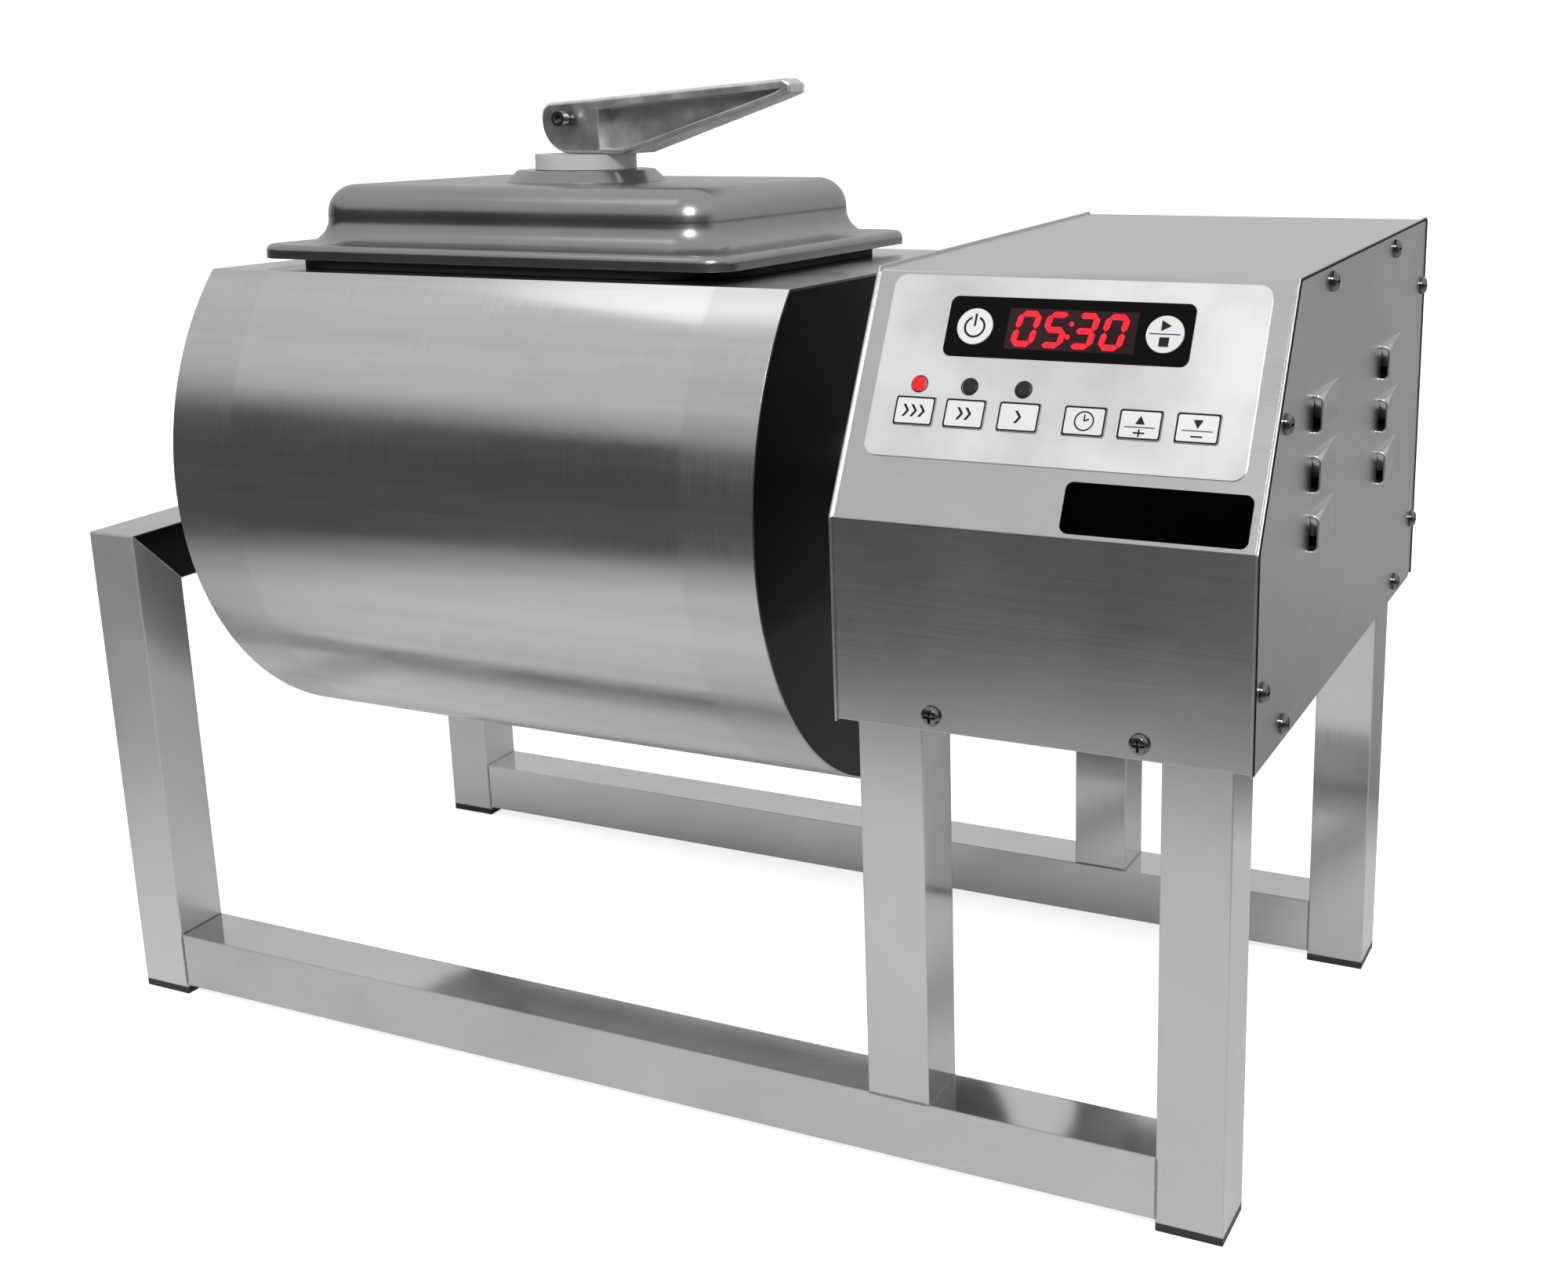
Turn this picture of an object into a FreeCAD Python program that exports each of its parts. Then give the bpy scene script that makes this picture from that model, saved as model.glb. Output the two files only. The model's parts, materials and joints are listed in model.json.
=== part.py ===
"""Tabletop drum tumbler: a lidded drum on a square-tube frame, driven from a control box."""
import FreeCAD
import Part
import math
import os
import Sketcher

# Driving sizes in millimetres, angles in degrees. The sheet of the document holds the same values.
SIZES = {
    # Square-tube frame
    "tube": 38.0,
    "tube_wall": 1.5,
    "frame_length": 780.0,
    "frame_depth": 390.0,
    "leg_top": 331.0,
    "rail_lift": 2.0,
    "middle_leg_setback": 211.0,
    "foot_height": 5.0,
    "foot_plug_depth": 22.0,
    # Control box
    "box_length": 232.5,
    "box_beyond_frame": 12.0,
    "box_overhang": 9.5,
    "box_bottom": 276.7,
    "box_bend": 390.0,
    "box_top": 514.7,
    "slope_angle": 61.2,
    "box_sheet": 1.2,
    "bend_radius": 3.0,
    "flange_width": 17.0,
    "plate_thickness": 1.5,
    "plate_lip": 1.2,
    "plate_corner": 12.0,
    "tray_upstand": 24.0,
    # Louvres pressed into the right plate
    "louvre_length": 58.0,
    "louvre_height": 21.0,
    "louvre_rise": 5.2,
    "louvre_corner": 4.0,
    "louvre_sheet": 1.2,
    "louvre_pitch": 32.2,
    "louvre_first_z": 440.5,
    "louvre_front_y": 95.0,
    "louvre_column_gap": 174.0,
    # Screws of the box
    "screw_radius": 2.5,
    "screw_length": 9.0,
    "head_radius": 5.6,
    "head_height": 3.6,
    "head_slot": 1.3,
    "head_wall": 1.3,
    "screw_inset": 8.7,
    "cover_screw_left_gap": 10.0,
    "cover_screw_right_gap": 9.0,
    "side_screw_lift": 39.7,
    "side_screw_front_inset": 13.2,
    "side_screw_first_y": 57.0,
    "side_screw_last_y": 58.0,
    "slope_screw_inset": 13.8,
    "slope_screw_rise": 56.1,
    "top_screw_front_y": 139.0,
    "top_screw_back_y": 307.0,
    "back_screw_drop": 42.0,
    # Keypad on the slope
    "panel_width": 207.8,
    "panel_height": 102.6,
    "panel_left": 12.2,
    "panel_low": 36.2,
    "panel_corner": 7.0,
    "panel_thickness": 1.0,
    "label_overlap": 6.0,
    "window_width": 135.0,
    "window_height": 34.0,
    "window_left": 47.4,
    "window_low": 93.3,
    "window_corner": 4.5,
    "window_proud": 0.2,
    "digits_width": 71.0,
    "digits_height": 23.0,
    "digits_left": 81.6,
    "round_key_radius": 10.0,
    "power_key_inset": 16.1,
    "start_key_inset": 14.5,
    "key_width": 22.6,
    "key_height": 15.8,
    "key_corner": 1.5,
    "key_proud": 0.6,
    "key_gap": 0.3,
    "key_travel": 0.6,
    "key_centre_v": 61.6,
    "key_flange": 1.6,
    "key_flange_thickness": 1.0,
    "key_stem_radius": 2.0,
    "lens_radius": 4.2,
    "lens_v": 76.8,
    "lens_proud": 0.9,
    "lens_round": 0.7,
    "board_depth": 8.0,
    "board_thickness": 1.6,
    "board_side_margin": 5.0,
    "board_inset": 2.0,
    "post_radius": 3.0,
    "post_inset": 5.0,
    "switch_side": 6.0,
    "switch_height": 5.0,
    "badge_width": 97.0,
    "badge_height": 27.0,
    "badge_left": 129.2,
    "badge_low": 2.6,
    "badge_corner": 4.0,
    "badge_thickness": 1.0,
    # Drum
    "bearing_rise": 36.5,
    "drum_turn": -1.8,
    "drum_radius": 196.0,
    "drum_wall": 1.5,
    "drum_left": 83.0,
    "drum_box_gap": 52.5,
    "flat_height": 130.0,
    "cap_thickness": 2.0,
    "cap_recess": 5.0,
    "hub_radius": 65.0,
    "hub_plate": 4.0,
    "hub_boss_radius": 24.0,
    "hub_boss_length": 18.0,
    "shaft_radius": 12.5,
    "shaft_end_proud": 2.0,
    "baffle_height": 34.0,
    "baffle_thickness": 3.0,
    "baffle_angle": 105.0,
    # Opening, lid and clamp
    "lid_offset": 15.5,
    "clamp_offset": 2.5,
    "lid_end_margin": 73.0,
    "lid_width": 260.5,
    "lid_corner": 18.0,
    "lid_sheet": 1.5,
    "rim_height": 9.0,
    "rim_gap": 6.0,
    "rim_round": 4.5,
    "dome_inset": 27.0,
    "dome_top": 52.0,
    "dome_corner": 24.0,
    "dome_crown": 19.0,
    "dome_foot": 16.5,
    "opening_margin": 89.0,
    "opening_width": 176.0,
    "opening_corner": 20.0,
    "collar_wall": 3.0,
    "collar_rise": 9.0,
    "collar_drop": 12.0,
    "gasket_width": 35.0,
    "seat_gap": 0.3,
    "boss_radius": 53.5,
    "boss_crown": 8.0,
    "boss_height": 7.4,
    "boss_round": 1.5,
    "washer_radius": 33.5,
    "washer_height": 10.0,
    "spindle_radius": 6.0,
    "running_gap": 0.05,
    "bar_margin": 36.0,
    "bar_width": 30.0,
    "bar_thickness": 9.0,
    # Lever
    "cam_radius": 21.5,
    "cam_offset": 1.0,
    "lever_width": 40.0,
    "taper_clearance": 1.0,
    "lever_tip_width": 20.0,
    "lever_reach": 160.0,
    "lever_crown": 10.0,
    "lever_shoulder": 8.0,
    "lever_tip_rise": 23.5,
    "lever_tip_depth": 11.5,
    "lever_block": 24.0,
    "lever_block_foot": 42.0,
    "lever_border": 6.0,
    "lever_sill": 3.0,
    "lever_round": 2.0,
    "lever_recess": 16.0,
    "lever_nose": 8.0,
    "lever_nose_rise": 3.0,
    "lever_tip_bevel": 5.0,
    "lever_tip_drop": 3.0,
    "lever_back_x": 20.0,
    "lever_back_rise": 2.5,
    "recess_nose_x": 12.0,
    "recess_tip_x": 6.0,
    "eye_width": 14.0,
    "eye_radius": 8.0,
    "pin_radius": 3.0,
    "pin_head_radius": 5.0,
    "pin_head_height": 6.0,
    "pin_standoff": 5.0,
    # Bearings and drive
    "bearing_radius": 26.0,
    "bearing_width": 15.0,
    "inner_ring_radius": 17.0,
    "inner_ring_width": 30.0,
    "housing_radius": 33.0,
    "housing_width": 28.0,
    "housing_foot_length": 127.0,
    "housing_foot_height": 13.0,
    "bolt_radius": 5.0,
    "bolt_spacing": 95.0,
    "bolt_head_radius": 9.0,
    "bolt_head_height": 6.5,
    "gear_centre": 50.0,
    "gearbox_foot": 60.0,
    "gearbox_width": 60.0,
    "gearbox_length": 104.0,
    "gearbox_setback": 90.0,
    "sleeve_radius": 17.5,
    "sleeve_length": 92.0,
    "gearbox_head": 32.0,
    "gear_flange_radius": 42.0,
    "gear_flange_stand": 8.0,
    "motor_flange_radius": 52.0,
    "motor_flange_thickness": 10.0,
    "motor_radius": 48.0,
    "fan_wall_gap": 11.5,
    "fan_cover_radius": 50.0,
    "fan_cover_length": 33.0,
    "cradle_thickness": 5.0,
    "cradle_width": 110.0,
    "cradle_lip": 20.0,
    "supply_length": 104.0,
    "supply_depth": 92.0,
    "supply_height": 30.0,
    "supply_gap": 14.0,
    "supply_back": 62.0,
    "driver_length": 96.0,
    "driver_depth": 70.0,
    "driver_height": 26.0,
    "driver_gap": 18.0,
    "driver_front": 56.5,
    "seal_radius": 40.0,
    "seal_thickness": 4.0,
    "seal_gap": 0.3,
}

SHEET = "sizes"
LOUVRE_ROWS = 3
KEY_SHARES = (0.12368, 0.26227, 0.40808, 0.58133, 0.72425, 0.86814)
LENS_SHARES = (0.12223, 0.26372, 0.40712)
CLOSE = 0.01


class Size:
    """A quantity that carries its sheet expression together with its number."""

    def __init__(self, text, value):
        self.text = text
        self.value = value

    def __add__(self, other):
        other = as_size(other)
        return Size(f"({self.text} + {other.text})", self.value + other.value)

    def __radd__(self, other):
        return as_size(other) + self

    def __sub__(self, other):
        other = as_size(other)
        return Size(f"({self.text} - {other.text})", self.value - other.value)

    def __rsub__(self, other):
        return as_size(other) - self

    def __mul__(self, other):
        other = as_size(other)
        return Size(f"({self.text} * {other.text})", self.value * other.value)

    def __rmul__(self, other):
        return as_size(other) * self

    def __truediv__(self, other):
        other = as_size(other)
        return Size(f"({self.text} / {other.text})", self.value / other.value)

    def __neg__(self):
        return Size(f"(-{self.text})", -self.value)


def as_size(quantity):
    if isinstance(quantity, Size):
        return quantity
    return Size(f"({float(quantity)})", float(quantity))


def sine(angle):
    return Size(f"sin({angle.text})", math.sin(math.radians(angle.value)))


def cosine(angle):
    return Size(f"cos({angle.text})", math.cos(math.radians(angle.value)))


def root(square):
    return Size(f"sqrt({square.text})", math.sqrt(square.value))


class Sheet:
    """Gives each driving size by its name."""

    def __getattr__(self, name):
        return Size(f"{SHEET}.{name}", SIZES[name])


S = Sheet()
DOC = FreeCAD.newDocument("tumbler")
PARTS = []

# Places that several pieces share, measured from the outer corner of the front left leg on the floor
LEG_FOOT = S.foot_height
RAIL_TOP = LEG_FOOT + S.rail_lift + S.tube
MIDDLE_Y = S.frame_depth / 2
MIDDLE_LEG_X = S.frame_length - S.middle_leg_setback
BOX_RIGHT = S.frame_length + S.box_beyond_frame
BOX_LEFT = BOX_RIGHT - S.box_length
DRUM_LENGTH = BOX_LEFT - S.drum_box_gap - S.drum_left
DRUM_RIGHT = S.drum_left + DRUM_LENGTH
LID_LENGTH = DRUM_LENGTH - S.lid_end_margin
LID_CENTRE_X = S.drum_left + DRUM_LENGTH / 2 - S.lid_offset
CLAMP_X = LID_CENTRE_X - S.clamp_offset
OPENING_LENGTH = LID_LENGTH - S.opening_margin
BAR_LENGTH = OPENING_LENGTH - S.bar_margin
GEARBOX_X = S.frame_length - S.gearbox_setback
AXIS_Z = S.leg_top + S.bearing_rise
FLAT_Z = AXIS_Z + S.flat_height
BOX_FRONT = -S.box_overhang
BOX_BACK = S.frame_depth + S.box_overhang
MOTOR_START = MIDDLE_Y + S.gearbox_length / 2
MOTOR_LENGTH = BOX_BACK - S.fan_wall_gap - S.fan_cover_length - MOTOR_START
COVER_LEFT = BOX_LEFT + S.plate_thickness
COVER_LENGTH = BOX_RIGHT - BOX_LEFT - 2 * S.plate_thickness
SLOPE_LENGTH = (S.box_top - S.box_bend) / sine(S.slope_angle)
SLOPE_RUN = SLOPE_LENGTH * cosine(S.slope_angle)
TOTAL_LENGTH = BOX_RIGHT + S.louvre_rise
ORIGIN_X = TOTAL_LENGTH / 2
ORIGIN_Y = MIDDLE_Y
FLANGE_UNDERSIDE = FLAT_Z + S.rim_gap + S.rim_height - S.lid_sheet
DOME_TOP = FLAT_Z + S.dome_top
BOSS_TOP = DOME_TOP + S.boss_height
WASHER_FOOT = BOSS_TOP + S.seat_gap
WASHER_TOP = WASHER_FOOT + S.washer_height
PIVOT_Z = WASHER_TOP + S.seat_gap + S.cam_radius + S.cam_offset
BAR_TOP = FLAT_Z - S.drum_wall - S.collar_drop - S.seat_gap
RIGHT_BEARING_X = MIDDLE_LEG_X + S.tube / 2
LEFT_BEARING_X = S.tube / 2
X_AXIS = FreeCAD.Vector(1, 0, 0)
Y_AXIS = FreeCAD.Vector(0, 1, 0)
Z_AXIS = FreeCAD.Vector(0, 0, 1)
TURNS = {
    "x": FreeCAD.Rotation(Y_AXIS, 90),
    "y": FreeCAD.Rotation(X_AXIS, -90),
    "z": FreeCAD.Rotation(),
}


def fill_sheet():
    sheet = DOC.addObject("Spreadsheet::Sheet", SHEET)
    for row, (name, value) in enumerate(SIZES.items(), start=1):
        sheet.set(f"A{row}", name.replace("_", " "))
        sheet.set(f"B{row}", str(value))
        sheet.setAlias(f"B{row}", name)
    DOC.recompute()


def bind(feature, path, quantity):
    feature.setExpression(path, as_size(quantity).text)


def move(feature, x, y, z, turn=None):
    """Puts a feature at a point of the machine, with the model's origin under its middle."""
    feature.Placement = FreeCAD.Placement(FreeCAD.Vector(), turn or FreeCAD.Rotation())
    bind(feature, "Placement.Base.x", as_size(x) - ORIGIN_X)
    bind(feature, "Placement.Base.y", as_size(y) - ORIGIN_Y)
    bind(feature, "Placement.Base.z", z)


def move_on_slope(feature, along, up, out):
    """Puts a feature on the sloped panel: along the bend, up the slope and out of its face."""
    tilt = S.slope_angle
    feature.Placement = FreeCAD.Placement(FreeCAD.Vector(), FreeCAD.Rotation(X_AXIS, tilt.value))
    bind(feature, "Placement.Base.x", BOX_LEFT + along - ORIGIN_X)
    bind(feature, "Placement.Base.y", BOX_FRONT + up * cosine(tilt) - out * sine(tilt) - ORIGIN_Y)
    bind(feature, "Placement.Base.z", S.box_bend + up * sine(tilt) + out * cosine(tilt))
    bind(feature, "Placement.Rotation.Angle", tilt)


def deliver(feature, name):
    """Gives a finished sub-part its name and keeps it for writing."""
    feature.Label = name
    PARTS.append(feature)
    return feature


def block(size, at):
    feature = DOC.addObject("Part::Box", "Block")
    for side, quantity in zip(("Length", "Width", "Height"), size):
        bind(feature, side, quantity)
    move(feature, *at)
    return feature


def rod(radius, length, at, axis="z"):
    feature = DOC.addObject("Part::Cylinder", "Rod")
    bind(feature, "Radius", radius)
    bind(feature, "Height", length)
    move(feature, *at, turn=TURNS[axis])
    return feature


def joined(*features):
    feature = DOC.addObject("Part::MultiFuse", "Joined")
    feature.Shapes = list(features)
    return feature


def cut(base, *tools):
    feature = DOC.addObject("Part::Cut", "CutOut")
    feature.Base = base
    feature.Tool = tools[0] if len(tools) == 1 else joined(*tools)
    return feature


def shared(first, second):
    feature = DOC.addObject("Part::Common", "Shared")
    feature.Base = first
    feature.Tool = second
    return feature


def as_it_stands(*features):
    """Pieces of the drum and its lid, turned a little about the drum's axis, as it came to rest."""
    copies = []
    turn = S.drum_turn
    for feature in features:
        copy = DOC.addObject("App::Link", "Standing")
        copy.LinkedObject = feature
        copy.LinkTransform = True
        copy.Placement = FreeCAD.Placement(FreeCAD.Vector(), FreeCAD.Rotation(X_AXIS, turn.value))
        bind(copy, "Placement.Base.y", AXIS_Z * sine(turn))
        bind(copy, "Placement.Base.z", AXIS_Z * (1 - cosine(turn)))
        bind(copy, "Placement.Rotation.Angle", turn)
        copies.append(copy)
    return group(*copies)


def group(*features):
    """Loose pieces of one kind that share a name."""
    feature = DOC.addObject("Part::Compound", "Group")
    feature.Links = list(features)
    return feature


def new_body():
    return DOC.addObject("PartDesign::Body", "Body")


def add_sketch(body, role, offset=None):
    sketch = body.newObject("Sketcher::SketchObject", "Sketch")
    plane = next(item for item in body.Origin.OriginFeatures if item.Role == role)
    sketch.AttachmentSupport = [(plane, "")]
    sketch.MapMode = "FlatFace"
    if offset is not None:
        bind(sketch, "AttachmentOffset.Base.z", offset)
    return sketch


def pin_point(sketch, geometry, position, x, y):
    """Fixes a point of a sketch by its two distances from the sketch's origin."""
    for kind, quantity in (("DistanceX", as_size(x)), ("DistanceY", as_size(y))):
        number = sketch.addConstraint(
            Sketcher.Constraint(kind, -1, 1, geometry, position, quantity.value)
        )
        sketch.setExpression(f"Constraints[{number}]", quantity.text)


def add_polygon(sketch, points):
    """Draws a closed outline through points given as pairs of sizes."""
    corners = [FreeCAD.Vector(as_size(x).value, as_size(y).value, 0) for x, y in points]
    first = sketch.GeometryCount
    count = len(points)
    for number in range(count):
        segment = Part.LineSegment(corners[number], corners[(number + 1) % count])
        sketch.addGeometry(segment, False)
    for number in range(count):
        following = first + (number + 1) % count
        sketch.addConstraint(Sketcher.Constraint("Coincident", first + number, 2, following, 1))
    for number, (x, y) in enumerate(points):
        pin_point(sketch, first + number, 1, x, y)


def add_rectangle(sketch, centre_x, centre_y, width, height):
    left = as_size(centre_x) - width / 2
    low = as_size(centre_y) - height / 2
    right = left + width
    high = low + height
    add_polygon(sketch, [(left, low), (right, low), (right, high), (left, high)])


def add_circle(sketch, x, y, radius):
    radius = as_size(radius)
    centre = FreeCAD.Vector(as_size(x).value, as_size(y).value, 0)
    number = sketch.addGeometry(Part.Circle(centre, Z_AXIS, radius.value), False)
    pin_point(sketch, number, 3, x, y)
    rule = sketch.addConstraint(Sketcher.Constraint("Radius", number, radius.value))
    sketch.setExpression(f"Constraints[{rule}]", radius.text)


def refresh(body, *features):
    DOC.recompute([*features, body])


def pad(body, sketch, length):
    feature = body.newObject("PartDesign::Pad", "Pad")
    feature.Profile = sketch
    bind(feature, "Length", length)
    refresh(body, sketch, feature)
    return feature


def revolve(body, sketch):
    """A full turn about the sketch's upright axis."""
    feature = body.newObject("PartDesign::Revolution", "Turned")
    feature.Profile = sketch
    feature.ReferenceAxis = (sketch, ["V_Axis"])
    feature.Angle = 360
    refresh(body, sketch, feature)
    return feature


def pocket(body, sketch, length, back=False):
    """Cuts a profile into a body and makes sure that it removed something."""
    before = body.Shape.Volume
    feature = body.newObject("PartDesign::Pocket", "Pocket")
    feature.Profile = sketch
    feature.Reversed = back
    bind(feature, "Length", length)
    refresh(body, sketch, feature)
    if body.Shape.Volume >= before:
        raise RuntimeError(f"a pocket of {body.Label} removes nothing")
    return feature


def round_edges(body, radius, wanted):
    """Rounds the edges of a body's last feature that a test picks by their middle and direction."""
    base = body.Tip
    names = []
    for number, edge in enumerate(base.Shape.Edges, start=1):
        middle = edge.valueAt((edge.FirstParameter + edge.LastParameter) / 2)
        along = edge.tangentAt((edge.FirstParameter + edge.LastParameter) / 2)
        if wanted(edge, middle, along):
            names.append(f"Edge{number}")
    if not names:
        raise RuntimeError(f"{body.Label} has no edge to round")
    feature = body.newObject("PartDesign::Fillet", "Fillet")
    feature.Base = (base, names)
    bind(feature, "Radius", radius)
    refresh(body, feature)
    return feature


def runs_along(share):
    """True where a direction's share of an axis is the whole of it."""
    return 1 - abs(share) < CLOSE


def is_upright(edge, middle, along):
    return runs_along(along.z)


def near(value, target):
    return abs(value - target) < CLOSE


def rounded_plate(width, height, thickness, corner):
    """A flat plate with its middle at its body's origin, standing up from its back face."""
    body = new_body()
    sketch = add_sketch(body, "XY_Plane")
    add_rectangle(sketch, 0, 0, width, height)
    pad(body, sketch, thickness)
    round_edges(body, corner, is_upright)
    return body


def tube_piece(size, at, along):
    """A square tube with open ends, lying along one axis."""
    outer = block(size, at)
    wall = S.tube_wall
    inner_size = [side if axis == along else side - 2 * wall for axis, side in enumerate(size)]
    inner_at = [as_size(place) if axis == along else place + wall for axis, place in enumerate(at)]
    return cut(outer, block(inner_size, inner_at))


def mitre_tool(front, across_y):
    """A wedge over the 45 degree joint between a left leg and the left crossbar."""
    body = new_body()
    sketch = add_sketch(body, "YZ_Plane")
    inner = across_y
    outer = across_y - S.tube if front else across_y + S.tube
    add_polygon(sketch, [(inner, S.leg_top - S.tube), (inner, S.leg_top), (outer, S.leg_top)])
    pad(body, sketch, S.tube)
    move(body, 0, 0, 0)
    return body


def build_left_portal():
    """The two left legs and the crossbar between them, mitred at the top corners."""
    back = S.frame_depth - S.tube
    for name, y, front, inner in (
        ("front_left_leg", as_size(0), True, S.tube),
        ("back_left_leg", back, False, back),
    ):
        leg = tube_piece((S.tube, S.tube, S.leg_top - LEG_FOOT), (0, y, LEG_FOOT), 2)
        deliver(cut(leg, mitre_tool(front, inner)), name)
    bar = tube_piece((S.tube, S.frame_depth, S.tube), (0, 0, S.leg_top - S.tube), 1)
    kept = joined(
        mitre_tool(True, S.tube),
        mitre_tool(False, back),
        block((S.tube, back - S.tube, S.tube), (0, S.tube, S.leg_top - S.tube)),
    )
    bolts = [
        rod(S.bolt_radius, S.tube, (LEFT_BEARING_X, y, S.leg_top - S.tube))
        for y in bolt_rows()
    ]
    deliver(cut(shared(bar, kept), *bolts), "left_crossbar")


def bolt_rows():
    return (MIDDLE_Y - S.bolt_spacing / 2, MIDDLE_Y + S.bolt_spacing / 2)


def build_right_frame():
    """Middle legs on the rails, right legs on the floor, crossbars and rails."""
    back = S.frame_depth - S.tube
    right = S.frame_length - S.tube
    for name, x, y, foot in (
        ("front_middle_leg", MIDDLE_LEG_X, as_size(0), RAIL_TOP),
        ("back_middle_leg", MIDDLE_LEG_X, back, RAIL_TOP),
        ("front_right_leg", right, as_size(0), LEG_FOOT),
        ("back_right_leg", right, back, LEG_FOOT),
    ):
        deliver(tube_piece((S.tube, S.tube, S.leg_top - foot), (x, y, foot), 2), name)
    span = (S.tube, back - S.tube, S.tube)
    low = S.leg_top - S.tube
    middle = tube_piece(span, (MIDDLE_LEG_X, S.tube, low), 1)
    bolts = [rod(S.bolt_radius, S.tube, (RIGHT_BEARING_X, y, low)) for y in bolt_rows()]
    deliver(cut(middle, *bolts), "middle_crossbar")
    deliver(tube_piece(span, (right, S.tube, low), 1), "right_crossbar")
    for name, y in (("front_rail", as_size(0)), ("back_rail", back)):
        rail = tube_piece((right - S.tube, S.tube, S.tube), (S.tube, y, LEG_FOOT + S.rail_lift), 0)
        deliver(rail, name)


def build_feet():
    """Plastic end plugs pressed into the four corner legs."""
    inner = S.tube - 2 * S.tube_wall
    feet = []
    for x in (as_size(0), S.frame_length - S.tube):
        for y in (as_size(0), S.frame_depth - S.tube):
            pad_block = block((S.tube, S.tube, S.foot_height), (x, y, 0))
            plug = block(
                (inner, inner, S.foot_plug_depth),
                (x + S.tube_wall, y + S.tube_wall, LEG_FOOT),
            )
            feet.append(joined(pad_block, plug))
    deliver(group(*feet), "leg_feet")


def box_profile(grow):
    """Side outline of the control box, moved out by a distance on every face but the bottom."""
    angle = S.slope_angle
    lean = (1 - cosine(angle)) / sine(angle)
    turn = (1 - sine(angle)) / cosine(angle)
    front = BOX_FRONT - grow
    back = BOX_BACK + grow
    top = S.box_top + grow
    bend = (front, S.box_bend + grow * turn)
    crest = (BOX_FRONT + SLOPE_RUN - grow * lean, top)
    return front, back, top, bend, crest


def profile_points(grow, bottom):
    front, back, top, bend, crest = box_profile(grow)
    return [(front, bottom), bend, crest, (back, top), (back, bottom)]


def build_cover():
    """Folded sheet that makes the front, slope, top and back, with a flange at each end."""
    body = new_body()
    outline = add_sketch(body, "YZ_Plane")
    add_polygon(outline, profile_points(0, S.box_bottom))
    pad(body, outline, COVER_LENGTH)
    round_edges(body, S.bend_radius, is_bend)
    hollow = add_sketch(body, "YZ_Plane", S.box_sheet)
    add_polygon(hollow, profile_points(-S.box_sheet, S.box_bottom))
    pocket(body, hollow, COVER_LENGTH - 2 * S.box_sheet, back=True)
    ends = add_sketch(body, "YZ_Plane")
    add_polygon(ends, profile_points(-S.flange_width, S.box_bottom))
    pocket(body, ends, COVER_LENGTH, back=True)
    move(body, COVER_LEFT, 0, 0)
    hidden = S.label_overlap
    window = block(
        (S.panel_width - 2 * hidden, S.panel_height - 2 * hidden, 8 * S.box_sheet),
        (0, 0, 0),
    )
    move_on_slope(window, S.panel_left + hidden, S.panel_low + hidden, -4 * S.box_sheet)
    holes = [
        rod(S.screw_radius, COVER_LENGTH, (COVER_LEFT, y, z), "x") for y, z in side_screw_places()
    ]
    holes += cover_screw_holes()
    deliver(cut(body, window, *holes), "box_cover")


def is_bend(edge, middle, along):
    return runs_along(along.x) and middle.z > S.box_bottom.value + S.box_sheet.value


def cover_screw_columns():
    """The two screws along the cover's lower edge, as places along the machine."""
    first = MIDDLE_LEG_X + S.tube + S.cover_screw_left_gap
    return (first, S.frame_length - S.tube - S.cover_screw_right_gap)


def cover_screw_holes():
    """Holes for the screws that hold the lower edges of the cover to the tray."""
    reach = S.box_sheet * 4
    z = S.box_bottom + S.screw_inset
    starts = (BOX_FRONT, BOX_BACK - reach)
    return [rod(S.screw_radius, reach, (x, y, z), "y") for x in cover_screw_columns() for y in starts]


def side_screw_places():
    """Screws round a side plate, as depth and height."""
    inset = S.screw_inset
    angle = S.slope_angle
    low = S.box_bottom + inset
    lifted = S.box_bottom + S.side_screw_lift
    rise = S.slope_screw_rise
    slope_y = BOX_FRONT + S.slope_screw_inset / sine(angle) + rise * cosine(angle) / sine(angle)
    return [
        (BOX_FRONT + S.side_screw_front_inset, lifted),
        (BOX_FRONT + S.side_screw_first_y, low),
        (slope_y, S.box_bend + rise),
        (BOX_FRONT + S.top_screw_front_y, S.box_top - inset),
        (BOX_FRONT + S.top_screw_back_y, S.box_top - inset),
        (BOX_BACK - inset, S.box_top - S.back_screw_drop),
        (BOX_BACK - inset, lifted),
        (BOX_BACK - S.side_screw_last_y, low),
    ]


def side_plate():
    """Flat side plate with a rounded lower back corner, its outline just proud of the cover."""
    body = new_body()
    outline = add_sketch(body, "YZ_Plane")
    add_polygon(outline, profile_points(S.plate_lip, S.box_bottom - S.plate_lip))
    pad(body, outline, S.plate_thickness)

    def is_back_corner(edge, middle, along):
        low = middle.z < S.box_bottom.value
        return runs_along(along.x) and low and middle.y > MIDDLE_Y.value

    round_edges(body, S.plate_corner, is_back_corner)
    return body


def build_left_plate():
    body = side_plate()
    move(body, BOX_LEFT, 0, 0)
    holes = [rod(S.screw_radius, S.plate_thickness, (BOX_LEFT, y, z), "x")
             for y, z in side_screw_places()]
    passage = rod(S.hub_boss_radius, S.plate_thickness, (BOX_LEFT, MIDDLE_Y, AXIS_Z), "x")
    deliver(cut(body, passage, *holes), "box_left_plate")


def louvre_places():
    columns = (S.louvre_front_y, S.louvre_front_y + S.louvre_column_gap)
    return [(y, S.louvre_first_z - row * S.louvre_pitch) for y in columns for row in range(LOUVRE_ROWS)]


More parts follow.
